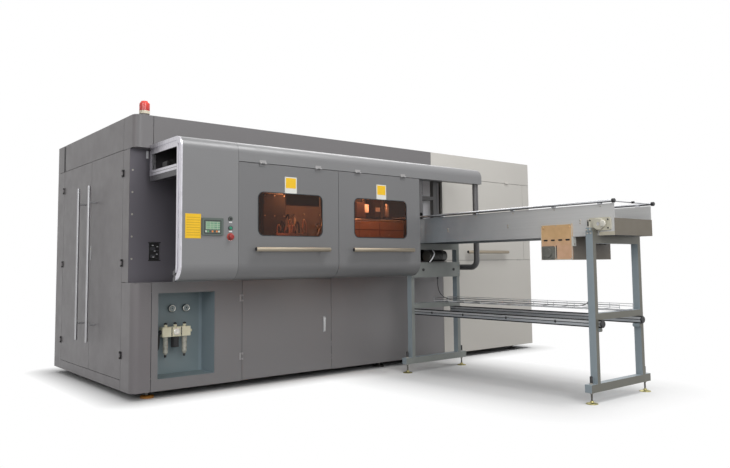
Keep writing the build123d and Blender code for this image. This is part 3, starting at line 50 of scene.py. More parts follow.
yaw, pitch, roll = math.radians(50.78), math.radians(4.366), math.radians(-0.613)
forward = Vector((
    math.cos(pitch) * math.cos(yaw), math.cos(pitch) * math.sin(yaw), math.sin(pitch),
))
level_right = forward.cross(Vector((0, 0, 1))).normalized()
level_up = level_right.cross(forward)
right = level_right * math.cos(roll) + level_up * math.sin(roll)
up = level_up * math.cos(roll) - level_right * math.sin(roll)
camera_data = bpy.data.cameras.new("camera")
camera_data.sensor_width = 36
camera_data.lens = 33.88
camera_data.shift_y = -0.0305
camera_data.clip_start, camera_data.clip_end = 0.05, 100
camera = bpy.data.objects.new("camera", camera_data)
camera.matrix_world = Matrix.Translation(place(-2030.4, -5417.1, 1062.2)) @ Matrix(
    (right, up, -forward)
).transposed().to_4x4()
bpy.context.scene.collection.objects.link(camera)
bpy.context.scene.camera = camera

# Base and upright frame: square tubes welded together and sprayed dark grey. They show only at
# the foot of the cabinet and in the open bays.


def linear(*tone):
    """A colour as linear light from the 0 to 255 values of a screen."""
    return tuple(((c / 255 + 0.055) / 1.055) ** 2.4 if c > 10 else c / 255 / 12.92 for c in tone)


def shaded(tone, share):
    """A screen tone as linear light, made darker or lighter by a share."""
    return tuple(min(c * share, 1) for c in linear(*tone))


class Mixer:
    """Mixes a finish from nodes that read the object's own coordinates."""

    def __init__(self, owner):
        owner.use_nodes = True
        self.owner, self.tree = owner, owner.node_tree
        self.shader = self.tree.nodes.get("Principled BSDF")

    def feed(self, socket, value):
        """Links a socket to another one, or sets it to a number or a linear colour."""
        if isinstance(value, bpy.types.NodeSocket):
            self.tree.links.new(value, socket)
        else:
            socket.default_value = (*value, 1) if socket.type == "RGBA" else value

    def add(self, kind, *feeds, **settings):
        """Adds a node with its settings, and feeds its inputs in their order."""
        made = self.tree.nodes.new("ShaderNode" + kind)
        for key, value in settings.items():
            setattr(made, key, value)
        for socket, value in zip(made.inputs, feeds):
            self.feed(socket, value)
        return made

    def reading(self, what="Object"):
        """A place on the object, or another reading of its surface."""
        return (self.tree.nodes.get("Texture Coordinate") or self.add("TexCoord")).outputs[what]

    def noise(self, scale, detail=3.0, stretch=None):
        """Noise over the object, stretched along its axes when asked."""
        vector = self.reading()
        if stretch:
            mapping = self.add("Mapping", vector)
            mapping.inputs["Scale"].default_value = stretch
            vector = mapping.outputs["Vector"]
        made = self.add("TexNoise", vector)
        made.inputs["Scale"].default_value = scale
        made.inputs["Detail"].default_value = detail
        return made.outputs["Fac"]

    def spread(self, value, low=0, high=1, start=0.3, end=0.7):
        """Maps a grey value onto a range."""
        return self.add("MapRange", value, start, end, low, high).outputs["Result"]

    def blend(self, value, first, second):
        """Mixes two linear colours, or sockets, by a grey value."""
        made = self.add("Mix", data_type="RGBA")
        for name, part in (("Factor", value), ("A", first), ("B", second)):
            self.feed(made.inputs[name], part)
        return made.outputs["Result"]

    def mottle(self, scale, first, second):
        """Two screen tones that change over in noise."""
        return self.blend(self.spread(self.noise(scale)), linear(*first), linear(*second))

    def along(self, axis, low, high):
        """A grey value from 0 to 1 between two of the machine's lengths, depths or heights."""
        start = {"X": front_left.x, "Y": front_left.y, "Z": 0}[axis]
        split = self.add("SeparateXYZ", self.reading())
        return self.spread(split.outputs[axis], 0, 1, start + low / 1000, start + high / 1000)

    def maths(self, operation, first, second=0):
        """One sum on two sockets or numbers."""
        return self.add("Math", first, second, operation=operation).outputs[0]

    def coat(self, tone, gloss, grain=None):
        """Sets the surface's tone, its roughness as a socket or a noise's scale and range, and
        its grain as a socket or a noise's scale, with strength and depth in metres."""
        if isinstance(gloss, tuple):
            gloss = self.spread(self.noise(gloss[0]), *gloss[1:])
        self.feed(self.shader.inputs["Base Color"], tone)
        self.feed(self.shader.inputs["Roughness"], gloss)
        if grain:
            height, strength, depth = grain
            if not isinstance(height, bpy.types.NodeSocket):
                height = self.noise(height, 2)
            bump = self.add("Bump")
            for name, value in (("Strength", strength), ("Distance", depth), ("Height", height)):
                self.feed(bump.inputs[name], value)
            self.feed(self.shader.inputs["Normal"], bump.outputs["Normal"])
        return self.owner


def new_finish(name, **numbers):
    """A mixer for a new material, with plain numbers on its shader, such as Coat_Weight."""
    mixer = Mixer(bpy.data.materials.new(name))
    for key, number in numbers.items():
        mixer.shader.inputs[key.replace("_", " ")].default_value = number
    return mixer


def powder_coat(name, tone, roughness=0.42, tone_near_floor=None, low_height=550, header_shade=None):
    """Sprayed and baked paint: orange peel, slow drift of tone, a tone that changes towards the
    floor, and a darker tone on the front of the cabinet's header that is painted shade."""
    paint = new_finish(name)
    shade = paint.blend(paint.spread(paint.noise(1.1)), shaded(tone, 0.975), shaded(tone, 1.025))
    if tone_near_floor:
        shade = paint.blend(paint.along("Z", low_height, 50), shade, linear(*tone_near_floor))
    # The front of the header above 2 m is painted darker: a painted shade.
    if header_shade:
        header_shade_mask = paint.maths("MULTIPLY", paint.along("Y", 20, 10), paint.along("Z", 1980, 2000))
        shade = paint.blend(header_shade_mask, shade, linear(*header_shade))
    return paint.coat(shade, (9, roughness - 0.04, roughness + 0.05), (240, 0.06, 0.0004))


def finish_node(material, *names):
    """Gives CAD nodes their finish."""
    for name in names:
        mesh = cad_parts[name].data
        mesh.materials.clear()
        mesh.materials.append(material)


finish_node(powder_coat("frame_coat", (74, 74, 78), 0.45), "cabinet_frame", "base_frame")

# Feet: turned steel pads on threaded studs. The cabinet's front left pad has an amber rubber
# sole, the others are black. Under the conveyor they are brass plated, with a nut at either end.


def drawn_metal(name, tone, roughness=0.3, stretch=(1, 1, 1)):
    """Bare metal with fine drawing lines along one axis and slow changes of gloss."""
    metal = new_finish(name, Metallic=1)
    lines = metal.noise(240, 4, stretch)
    streaks = metal.blend(metal.spread(lines), shaded(tone, 0.88), shaded(tone, 1.08))
    gloss = metal.spread(lines, roughness, roughness + 0.14)
    return metal.coat(streaks, gloss, (lines, 0.25, 0.0003))


def put(name, mesh, finish, body):
    """Adds a mesh as a piece that a body of the frame carries. Its finish is a material and the
    name of a slot, which is not used."""
    if not mesh.materials:
        mesh.materials.append(finish[0])
    piece = bpy.data.objects.new(name, mesh)
    bpy.context.scene.collection.objects.link(piece)
    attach(piece, body)
    return piece


def repeat_tree(name, sizes, kinds, wires):
    """Geometry nodes that set a shape on every point, turn it and give it its finish."""
    tree = bpy.data.node_groups.new(name, "GeometryNodeTree")
    for label, kind, default in (
        ("Points", "Geometry", None), *sizes, ("Finish", "Material", None),
    ):
        socket = tree.interface.new_socket(label, in_out="INPUT", socket_type="NodeSocket" + kind)
        if default is not None:
            socket.default_value = default
    tree.interface.new_socket("Pieces", in_out="OUTPUT", socket_type="NodeSocketGeometry")
    made = {
        label: tree.nodes.new(kind) for label, kind in (
            *kinds, ("given", "NodeGroupInput"), ("turn", "FunctionNodeAlignRotationToVector"),
            ("copy", "GeometryNodeInstanceOnPoints"), ("real", "GeometryNodeRealizeInstances"),
            ("paint", "GeometryNodeSetMaterial"), ("result", "NodeGroupOutput"),
        )
    }
    for start, out, end, into in (
        *wires, ("given", "Points", "copy", "Points"), ("turn", 0, "copy", "Rotation"),
        ("copy", 0, "real", 0), ("real", 0, "paint", "Geometry"),
        ("given", "Finish", "paint", "Material"), ("paint", 0, "result", 0),
    ):
        tree.links.new(made[start].outputs[out], made[end].inputs[into])
    return tree, made


head_shares = {"half": 0.35, "low": 0.7, "narrow": 0.78, "thin": 0.3}
chamfered_heads, head_nodes = repeat_tree(
    "chamfered_heads",
    (
        ("Sides", "Int", 6), ("Radius", "Float", 0.005), ("Height", "Float", 0.003),
        ("Facing", "Vector", (0, 0, 1)),
    ),
    (
        ("shank", "GeometryNodeMeshCylinder"), ("crown", "GeometryNodeMeshCone"),
        ("lift", "ShaderNodeCombineXYZ"), ("crown_lift", "ShaderNodeCombineXYZ"),
        ("place_shank", "GeometryNodeTransform"), ("place_crown", "GeometryNodeTransform"),
        ("join", "GeometryNodeJoinGeometry"), *((label, "ShaderNodeMath") for label in head_shares),
    ),
    (
        ("given", "Height", "half", 0), ("given", "Height", "low", 0),
        ("given", "Height", "thin", 0), ("given", "Radius", "narrow", 0),
        ("given", "Sides", "shank", "Vertices"), ("given", "Radius", "shank", "Radius"),
        ("low", 0, "shank", "Depth"), ("given", "Sides", "crown", "Vertices"),
        ("narrow", 0, "crown", "Radius Top"), ("given", "Radius", "crown", "Radius Bottom"),
        ("thin", 0, "crown", "Depth"), ("half", 0, "lift", "Z"), ("low", 0, "crown_lift", "Z"),
        ("shank", "Mesh", "place_shank", "Geometry"), ("lift", 0, "place_shank", "Translation"),
        ("crown", "Mesh", "place_crown", "Geometry"),
        ("crown_lift", 0, "place_crown", "Translation"), ("place_shank", 0, "join", 0),
        ("place_crown", 0, "join", 0), ("given", "Facing", "turn", "Vector"),
        ("join", 0, "copy", "Instance"),
    ),
)
head_nodes["turn"].axis = "Z"
for label, share in head_shares.items():
    head_nodes[label].operation = "MULTIPLY"
    head_nodes[label].inputs[1].default_value = share


def grow(name, spots, tree, values, finish, body="machine"):
    """Runs a geometry node tree on a list of points and keeps its result as a plain mesh."""
    seed_mesh = bpy.data.meshes.new(name + "_points")
    seed_mesh.from_pydata([tuple(spot) for spot in spots], [], [])
    seed = bpy.data.objects.new(name + "_points", seed_mesh)
    bpy.context.scene.collection.objects.link(seed)
    modifier = seed.modifiers.new("repeat", "NODES")
    modifier.node_group = tree
    for item in tree.interface.items_tree:
        if item.in_out == "INPUT" and item.name != "Points":
            modifier[item.identifier] = finish[0] if item.name == "Finish" else values[item.name]
    seed.update_tag()
    ready = seed.evaluated_get(bpy.context.evaluated_depsgraph_get())
    grown = bpy.data.meshes.new_from_object(ready)
    seed.modifiers.clear()
    bpy.data.objects.remove(seed)
    grown.name = name
    put(name, grown, finish, body)


ways = {
    "up": (0, 0, 1), "down": (0, 0, -1), "left": (-1, 0, 0), "right": (1, 0, 0),
    "front": (0, -1, 0),
}


def heads(name, spots, way, radius, height, finish, sides=6, body="machine"):
    """Screw heads, nuts or caps at a list of places, in millimetres, facing one way."""
    values = {
        "Sides": sides, "Radius": radius / 1000, "Height": height / 1000, "Facing": ways[way],
    }
    grow(name, [place(*spot) for spot in spots], chamfered_heads, values, finish, body)


def keep(name, shape, finish, body):
    """Turns the faces of a shape outwards and keeps it as a piece."""
    bmesh.ops.recalc_face_normals(shape, faces=shape.faces[:])
    mesh = bpy.data.meshes.new(name)
    shape.to_mesh(mesh)
    shape.free()
    return put(name, mesh, finish, body)


def lathe(name, profile, origin, way, finish, body="machine", hollow=False):
    """A piece turned from pairs of radius and height. A hollow one's pairs run round its wall."""
    steps = 40
    turn = Vector((0, 0, 1)).rotation_difference(Vector(ways[way])).to_matrix().to_4x4()
    move = Matrix.Translation(place(*origin)) @ turn
    angles = [i * math.tau / steps for i in range(steps)]
    shape = bmesh.new()
    rings = [
        [
            shape.verts.new(move @ (Vector((r * math.cos(a), r * math.sin(a), height)) / 1000))
            for a in angles
        ]
        for r, height in profile
    ]
    for lower, upper in zip(rings, rings[1:] + (rings[:1] if hollow else [])):
        for i in range(steps):
            j = (i + 1) % steps
            shape.faces.new((lower[i], lower[j], upper[j], upper[i])).smooth = True
    if not hollow:
        shape.faces.new(rings[-1])
        shape.faces.new(rings[0][::-1])
    keep(name, shape, finish, body).data.set_sharp_from_angle(angle=math.radians(35))


foot = new_finish("foot_metal")
amber_corner = foot.maths("MULTIPLY", foot.along("X", 500, 400), foot.along("Y", 500, 400))
sole = foot.blend(amber_corner, linear(38, 36, 35), linear(168, 112, 44))
above_sole = foot.along("Z", 21, 24)
foot.feed(foot.shader.inputs["Metallic"], above_sole)
foot_tone = foot.blend(above_sole, sole, foot.mottle(60, (70, 68, 66), (112, 110, 106)))
finish_node(foot.coat(foot_tone, (90, 0.32, 0.5)), "levelling_feet")
bolts = drawn_metal("bolt_metal", (176, 172, 164)), "zinc_steel"
leg_rows = (-2421, -389)
foot_spots = [(2975 + side * 384, y) for side in (-1, 1) for y in leg_rows]
for end, z, radius, height in (("below", 77, 15, 7.8), ("above", 145.2, 13, 9)):
    heads(f"stud_nuts_{end}", [(*spot, z) for spot in foot_spots], "up", radius, height, bolts)
pads = drawn_metal("pad_brass", (176, 168, 118)), "zinc_steel"
pad_shape = [(46, 0.2), (46, 3), (42, 6), (28, 10), (16, 13), (12, 22), (8, 24)]
for i, spot in enumerate(foot_spots):
    lathe(f"foot_pad_{i}", pad_shape, (*spot, 0), "up", pads)

# Cabinet sheets: steel folded at its edges and powder coated in a mid grey that grows a little
# darker towards the floor, screwed to the frame from inside. The front of the header is painted a
# shade darker, which is painted shade. The roof and back are plain, and each lower panel hangs on
# its ledge.
for name, tone, tone_near_floor, low_height, sheets in (
    (
        "cabinet_coat", (124, 120, 121), (117, 113, 115), 1400,
        ("cover_sheets", "end_surround", "end_door_front", "end_door_rear"),
    ),
    ("lower_coat", (125, 123, 124), (120, 118, 119), 400, ("front_panels", "lower_door")),
):
    coat = powder_coat(
        name, tone, tone_near_floor=tone_near_floor, low_height=low_height, header_shade=(110, 108, 109),
    )
    finish_node(coat, *sheets)

# End doors: two tall leaves with long round bars on turned standoffs and black steel hinges. A
# flush lock sits in the front leaf's edge, and a rubber strip closes the upper rear corner.


def slab(name, x, y, z, finish, body="machine", edge=1.0):
    """A plate between pairs of lengths, depths and heights in millimetres, its edges rounded."""
    low, high = place(x[0], y[0], z[0]), place(x[1], y[1], z[1])
    shape = bmesh.new()
    bmesh.ops.create_cube(shape, size=1)
    for corner in shape.verts:
        corner.co = Vector(
            (low[i] + high[i]) / 2 + corner.co[i] * (high[i] - low[i]) for i in range(3)
        )
    bmesh.ops.bevel(
        shape, geom=shape.edges[:], offset=edge / 1000, segments=2, affect="EDGES",
        clamp_overlap=True,
    )
    keep(name, shape, finish, body)


def moulded(name, tone, roughness=0.45, speck=0.06):
    """Moulded plastic or rubber with a fine spark-eroded grain."""
    skin = new_finish(name)
    specks = skin.blend(
        skin.spread(skin.noise(14)), shaded(tone, 1 - speck), shaded(tone, 1 + speck),
    )
    return skin.coat(specks, (60, roughness, roughness + 0.1), (1500, 0.15, 0.0002))


bar_metal = drawn_metal("bar_metal", (166, 166, 168), 0.34, (1, 1, 0.04))
finish_node(bar_metal, "end_bar_front", "end_bar_rear")
bars = bar_metal, "rail_steel"
hinge = new_finish("hinge_steel")
hinge_tone = hinge.blend(hinge.along("X", 100, 120), linear(30, 29, 30), linear(158, 156, 156))
hinge_tone = hinge.blend(hinge.along("X", 3400, 3500), hinge_tone, linear(200, 196, 190))
finish_node(hinge.coat(hinge_tone, (70, 0.3, 0.45), (420, 0.1, 0.0004)), "hinge_leaves")
rubber = moulded("black_rubber", (26, 25, 26), 0.55), "black_plastic"
slab("corner_strip", (-2, 0), (1888, 1930), (2034, 2290), rubber)
slab("lock_plate", (-3, 0), (1021, 1045), (1127, 1258), bars, "front_end_door", 2)
heads("lock_barrel", [(-3, 1033, 1228)], "left", 9, 5, bolts, 20, "front_end_door")
for i, z in enumerate((344, 1093, 1835)):
    for name, y, body in (
        ("front_leaf", (252, 272), "front_end_door"), ("rear_leaf", (1877, 1897), "rear_end_door"),
        ("rear_fixed_leaf", (1917, 1940), "machine"),
    ):
        slab(f"{name}_{i}", (-2.2, -0.2), y, (z - 31, z + 31), rubber, body, 0.8)

# Seam fillers: black rubber strips pressed into the gaps between the back sheets and beside the
# lower door, which keep dust and light out.
for i, x in enumerate((1113.6, 2226.1, 4203.8)):
    slab(f"seam_fill_{i}", (x, x + 3.3), (2127.3, 2129.5), (62, 2292), rubber, edge=0.2)
slab("door_seal", (1952.6, 1954.9), (4, 24), (66, 927), rubber, edge=0.2)

# Wall behind the hood: dark coated sheet, screwed to the posts along its left edge, with a socket
# box for two plugs and a pale marking strip beside the end trim.
finish_node(powder_coat("dark_coat", (98, 95, 102), 0.45), "recess_wall")
finish_node(powder_coat("duct_coat", (62, 60, 65), 0.5), "cable_duct")
heads("wall_screws", [(26, 100, 1125 + 181.5 * i) for i in range(5)], "front", 8, 4, bolts, 12)
for name, z in (("top", 1256), ("low", 1107)):
    slab(f"socket_frame_{name}", (164, 270), (97, 100), (z, z + 8), rubber)
slab("socket_back", (171, 263), (118, 122), (1116, 1255), rubber)
plugs = moulded("plug_plastic", (70, 70, 74), 0.3), "cream_plastic"
for z in (1150, 1212):
    slab(f"plug_{z}", (186, 228), (104, 118), (z - 16, z + 10), plugs, edge=4)
    slab(f"plug_cord_{z}", (228, 258), (106, 112), (z - 22, z - 16), plugs, edge=2)
marks = moulded("strip_paint", (214, 214, 218), 0.4), "trim_metal"
for i, (x, z) in enumerate(((196, 1233), (236, 1222), (214, 1186), (232, 1160), (202, 1136))):
    slab(f"plug_mark_{i}", (x, x + 14), (101, 104), (z, z + 7), marks)
slab("marking_strip", (136, 156), (98.8, 100), (1955, 2020), marks, edge=0.4)

# Lower door: it opens on two light steel hinges and is held shut by a satin swing handle in a
# recessed plate.
finish_node(drawn_metal("lever_metal", (196, 196, 196), stretch=(1, 1, 0.1)), "door_lever")
slab("lever_plate", (1852, 1882), (-3.6, -3), (420, 569), bars, "service_door", 0.3)

# Alcove in the lower front: a bluish grey steel box. Its air treatment set has cream bodies, two
# polished bowls, a black knob between them and small black knobs on top, and is fed by a hose.
alcove = new_finish("alcove_coat")
alcove_back = alcove.mottle(2, (122, 136, 140), (134, 148, 152))
# From 686 mm the liner's right wall is painted lighter and bluer: painted light on that wall and
# its fold.
alcove_tone = alcove.blend(alcove.along("X", 685, 687), alcove_back, linear(138, 152, 159))
finish_node(alcove.coat(alcove_tone, (9, 0.36, 0.44), (240, 0.06, 0.0004)), "alcove_liner")
air_set = new_finish("air_set_plastic")
bowl_part = air_set.along("Z", 476, 474)
air_tone = air_set.blend(
    bowl_part, air_set.mottle(18, (222, 217, 188), (232, 227, 200)),
    air_set.mottle(30, (150, 148, 138), (206, 204, 190)),
)
air_gloss = air_set.spread(bowl_part, 0.4, 0.14, 0, 1)
finish_node(air_set.coat(air_tone, air_gloss, (900, 0.1, 0.0002)), "air_unit")
black_plastic = moulded("black_plastic", (30, 30, 32))
finish_node(black_plastic, "button_black")
finish_node(moulded("knob_plastic", (22, 22, 24), 0.3), "regulator_knob")
plastic = black_plastic, "black_plastic"
left_bowl, middle_body, right_bowl, air_y = 338, 422, 506, 140
for name, z, radius, height, sides in (("knobs", 575, 15, 12, 24), ("buttons", 586, 7, 5, 20)):
    tops = [(x, air_y, z) for x in (left_bowl, middle_body, right_bowl)]
    heads(f"air_top_{name}", tops, "up", radius, height, plastic, sides)
bowls = drawn_metal("bowl_metal", (226, 222, 190), 0.16), "zinc_steel"
bowl_guard = [(15.2, 0), (17, 0), (20, 4), (20, 92), (19, 96), (17, 98), (15.2, 98)]
for i, x in enumerate((left_bowl, right_bowl)):
    lathe(f"bowl_guard_{i}", bowl_guard, (x, air_y, 378), "up", bowls, hollow=True)
drains = [(x, air_y, 326) for x in (left_bowl, right_bowl)]
heads("bowl_drains", drains, "down", 10, 22, plastic, 16)
for i, x in enumerate((380, 464)):
    slab(f"body_joint_{i}", (x - 5, x + 5), (103, 177), (478, 552), plastic, edge=2)
face_metal = drawn_metal("face_metal", (206, 204, 196), 0.25)
bright = face_metal, "zinc_steel"
face_ring = [(18, 0), (30, 0), (30, 6), (26, 9), (20, 9), (18, 6)]
face_disc = [(17.8, 0), (17.8, 4), (9, 4), (8, 7), (0.5, 7)]
lathe("regulator_ring", face_ring, (middle_body, 104, 516), "front", bright, hollow=True)
lathe("regulator_face", face_disc, (middle_body, 104, 516), "front", bright)


def bent_tube(name, spots, radius, finish):
    """A round tube through a list of places in millimetres, bent smoothly at each of them."""
    line = bpy.data.curves.new(name, "CURVE")
    line.dimensions = "3D"
    line.bevel_depth = radius / 1000
    line.bevel_resolution = 4
    line.use_fill_caps = True
    run = line.splines.new("NURBS")
    run.points.add(len(spots) - 1)
    for point, spot in zip(run.points, spots):
        point.co = (*place(*spot), 1)
    run.order_u = 3
    run.use_endpoint_u = True
    carrier = bpy.data.objects.new(name, line)
    bpy.context.scene.collection.objects.link(carrier)
    ready = carrier.evaluated_get(bpy.context.evaluated_depsgraph_get())
    mesh = bpy.data.meshes.new_from_object(ready)
    bpy.data.objects.remove(carrier)
    mesh.name = name
    put(name, mesh, finish, "machine")


heads("inlet_elbow", [(298, air_y, 515)], "left", 17, 16, plastic, 20)
inlet_run = [(290, 140, 512), (284, 142, 490), (284, 150, 420), (284, 170, 360), (284, 218, 340)]
bent_tube("inlet_hose", inlet_run, 8, rubber)

# Gauges: black shells with a bright rim, a grey dial with its ticks, and a needle on a hub. They
# are screwed into the alcove's back wall.
finish_node(moulded("gauge_shell", (78, 90, 93), 0.35), "pressure_gauges")
dials = moulded("dial_paint", (150, 160, 160), 0.35, 0.02), "cream_plastic"
bars_round_centre, bar_nodes = repeat_tree(
    "bars_round_centre",
    (("Size", "Vector", (0.004, 0.001, 0.001)), ("Centre", "Vector", (0, 0, 0))),
    (
        ("bar", "GeometryNodeMeshCube"), ("where", "GeometryNodeInputPosition"),
        ("away", "ShaderNodeVectorMath"),
    ),
    (
        ("given", "Size", "bar", "Size"), ("where", 0, "away", 0), ("given", "Centre", "away", 1),
        ("away", 0, "turn", "Vector"), ("bar", "Mesh", "copy", "Instance"),
    ),
)
bar_nodes["away"].operation = "SUBTRACT"
bar_nodes["turn"].axis = "X"


def ring_spots(centre, radius, count, first=0.0, sweep=360.0, flat="z"):
    """Points on an arc about a centre, in millimetres, in a level plane or an upright one."""
    spots = []
    for i in range(count):
        angle = math.radians(first + sweep * i / (count - 1 if sweep < 360 else count))
        across, rise = radius * math.cos(angle), radius * math.sin(angle)
        step = (across, rise, 0) if flat == "z" else (across, 0, rise)
        spots.append(place(*centre) + Vector(step) / 1000)
    return spots


gauge_z = 702
dial_disc = [(27.6, 0), (27.6, 0.8)]
dial_rim = [(24, 0), (30, 0), (30, 3), (27, 5), (24, 4)]
for side, x in (("left", 430), ("right", 558)):
    lathe(f"gauge_dial_{side}", dial_disc, (x, 219, gauge_z), "front", dials)
    lathe(f"gauge_rim_{side}", dial_rim, (x, 219, gauge_z), "front", bright, hollow=True)
    centre = (x, 217.8, gauge_z)
    ticks = ring_spots(centre, 22, 21, 225, -270, "y")
    tick_sizes = {"Size": (0.006, 0.0008, 0.0012), "Centre": place(*centre)}
    grow(f"gauge_ticks_{side}", ticks, bars_round_centre, tick_sizes, plastic)
    slab(f"gauge_needle_{side}", (x - 1, x + 1), (216.6, 217.4), (696, 720), plastic, edge=0.3)
    heads(f"gauge_hub_{side}", [(x, 217.6, gauge_z)], "front", 4, 2, plastic, 20)

# Hood: rolled sheet in a lighter satin grey. Its open left end is closed by a drawn aluminium
# trim with a groove, and the duct behind its upper edge carries the cables.
finish_node(powder_coat("hood_coat", (123, 123, 124), 0.34), "hood_shell")
# The window doors carry a darker copy of the hood's grey: a painted shade over the middle of the
# hood.
finish_node(powder_coat("door_coat", (110, 110, 111), 0.34), "hood_door_left", "hood_door_right")
trims = drawn_metal("trim_metal", (204, 202, 208), 0.26, (1, 1, 0.05)), "trim_metal"
end_trim = new_finish("end_metal")
# Below the duct sill and behind its front edge the trim is painted dark and dull: a painted shadow
# under the sill.
sill_shadow_mask = end_trim.maths(
    "MULTIPLY", end_trim.along("Y", -525, -523), end_trim.along("Z", 1795.5, 1794.5),
)
draw_lines = end_trim.noise(240, 4, (1, 1, 0.05))
drawn_tone = end_trim.blend(
    end_trim.spread(draw_lines), linear(192, 190, 196), linear(214, 212, 218),
)
end_trim.feed(end_trim.shader.inputs["Metallic"], end_trim.spread(sill_shadow_mask, 1, 0, 0, 1))
end_tone = end_trim.blend(sill_shadow_mask, drawn_tone, linear(64, 62, 67))
finish_node(end_trim.coat(end_tone, end_trim.spread(draw_lines, 0.24, 0.38)), "hood_end_trim")
slab("duct_sill", (127.6, 176), (-525, -45), (1795.2, 1838), trims, edge=2)
slab("duct_lip", (127.4, 129), (-522, -48), (1814, 1818), rubber, edge=0.4)
for i, y in enumerate((-470, -440, -405)):
    z = 1842 + 16 * i
    slab(f"duct_cable_{i}", (132, 560), (y, y + 14), (z, z + 14), rubber, edge=6)
slab("duct_box", (150, 250), (-300, -200), (1840, 1890), rubber, edge=6)

# Windows: amber tinted polycarbonate, clamped behind the doors by a black rubber edge. A white
# plate with a plain yellow field is riveted on above each, and hinge leaves carry the door.
pane = new_finish("pane_tint", Transmission_Weight=1, IOR=1.3, Specular_IOR_Level=0.15)
finish_node(pane.coat(linear(206, 130, 88), (6, 0.0, 0.03)), "window_left", "window_right")


def rounded_ring(name, middle, size, corner, width, depth, finish, body="machine"):
    """A flat frame with rounded corners round an opening in the hood's front."""
    shape = bmesh.new()
    half_x, half_z = size[0] / 2 - corner, size[1] / 2 - corner
    loops = []
    for out, y in ((0, depth[1]), (0, depth[0]), (width, depth[0]), (width, depth[1])):
        radius = corner + out
        ring = []
        for quarter, (sx, sz) in enumerate(((1, 1), (-1, 1), (-1, -1), (1, -1))):
            for step in range(9):
                angle = math.radians(90 * quarter + 90 * step / 8)
                ring.append(shape.verts.new(place(
                    middle[0] + sx * half_x + radius * math.cos(angle), y,
                    middle[1] + sz * half_z + radius * math.sin(angle),
                )))
        loops.append(ring)
    for inner, outer in zip(loops, loops[1:] + loops[:1]):
        for j in range(len(inner)):
            k = (j + 1) % len(inner)
            shape.faces.new((inner[j], inner[k], outer[k], outer[j]))
    keep(name, shape, finish, body)


plate_paint = moulded("plate_paint", (216, 216, 210), 0.35, 0.02)
plates = plate_paint, "trim_metal"
yellow = moulded("yellow_paint", (232, 186, 30), 0.35, 0.03), "trim_metal"
hood_face = -605
hood_doors = {"left": (1104.75, 1100), "right": (2090.25, 2094)}
for side, (middle, plate_x) in hood_doors.items():
    body = f"{side}_hood_door"
    rounded_ring(
        f"window_edge_{side}", (middle, 1478.5), (625.5, 344.6), 45, 7, (-607, -604.9), rubber,
        body,
    )
    plate_width, field_width = (plate_x - 59, plate_x + 59), (plate_x - 50, plate_x + 50)
    slab(f"plate_{side}", plate_width, (-606, hood_face), (1655, 1794), plates, body, 0.4)
    slab(f"plate_field_{side}", field_width, (-606.5, -606), (1700, 1786), yellow, body, 0.2)
    for i in (-1, 1):
        leaf = (middle + i * 275 - 30, middle + i * 275 + 30)
        slab(f"door_leaf_{side}_{i + 1}", leaf, (-607.2, -605.2), (1863, 1880), bars, body, 0.6)
    rivets = [(plate_x + i * 53, -606, z) for i in (-1, 1) for z in (1661, 1788)]
    heads(f"plate_rivets_{side}", rivets, "front", 3, 1.2, bolts, 12, body)

# Door bars: round steel tube in a warm satin finish, screwed to the doors on turned standoffs. A
# dark plastic plug closes each end.
warm_bar_metal = drawn_metal("warm_bar_metal", (150, 141, 126), 0.5, (0.04, 1, 1))
finish_node(warm_bar_metal, "hood_bar_left", "hood_bar_right", "white_bar")
grips = warm_bar_metal, "rail_steel"
grip_z = 1190
for middle, length, y, body in (
    *((middle, 725.5, -655, f"{side}_hood_door") for side, (middle, _) in hood_doors.items()),
    (4229, 710, -50, "module_door"),
):
    grip = [
        (15.2, 0), (17.4, 0), (18.2, 1.5), (18.2, length - 1.5), (17.4, length), (15.2, length),
    ]
    lathe(f"grip_{body}", grip, (middle - length / 2, y, grip_z), "right", grips, body, True)
    for side, sign in (("left", -1), ("right", 1)):
        plug_spot = (middle + sign * length / 2, y, grip_z)
        heads(f"bar_plug_{body}_{side}", [plug_spot], side, 14.6, 5, plastic, 28, body)

# Operator panel: a moulded bezel round a small lit screen with a row of keys, three buttons in
# coloured rings with pale legend plates, and a plain yellow plate beside them.
finish_node(moulded("bezel_plastic", (84, 94, 88), 0.4), "operator_panel")
screen = new_finish(
    "screen_glass", Base_Color=(0.01, 0.01, 0.01, 1), Emission_Strength=0.75, Roughness=0.12,
)
swap_axes = screen.add("Mapping", screen.reading())
swap_axes.inputs["Rotation"].default_value = (math.radians(-90), 0, 0)
grid = screen.add(
    "TexBrick", swap_axes.outputs["Vector"], linear(132, 176, 140), linear(110, 158, 130),
    linear(186, 204, 176), offset=0,
)
for name, value in (
    ("Scale", 1.0), ("Mortar Size", 0.0016), ("Brick Width", 0.030), ("Row Height", 0.0155),
):
    grid.inputs[name].default_value = value
screen.feed(screen.shader.inputs["Emission Color"], grid.outputs["Color"])
lit_glass = screen.owner, "panel_plastic"
slab("screen", (327, 445), (-615.6, -615), (1340, 1400), lit_glass, edge=0.2)
rounded_ring("screen_edge", (384, 1359), (132, 94), 2, 5, (-618, -616.9), plastic)
key_paint = {
    name: (moulded(f"key_{name}", tone), "panel_plastic") for name, tone in (
        ("orange", (224, 130, 50)), ("pale", (206, 212, 200)), ("green", (96, 150, 110)),
        ("dark", (60, 68, 64)),
    )
}
for i, name in enumerate(("pale", "green", "dark", "orange", "dark", "orange", "pale")):
    key_x = (321 + 18 * i, 334 + 18 * i)
    slab(f"key_{i}", key_x, (-618.4, -617), (1318, 1331), key_paint[name])
finish_node(moulded("green_plastic", (20, 140, 104), 0.25), "button_green")
finish_node(moulded("red_plastic", (150, 40, 38), 0.25), "stop_button")
legends = drawn_metal("collar_metal", (214, 214, 214)), "trim_metal"
collar = [(17.2, 0), (20, 0), (20, 3.4), (18.6, 6.4), (17.2, 6.4)]
button_x, stop_z = 540, 1286
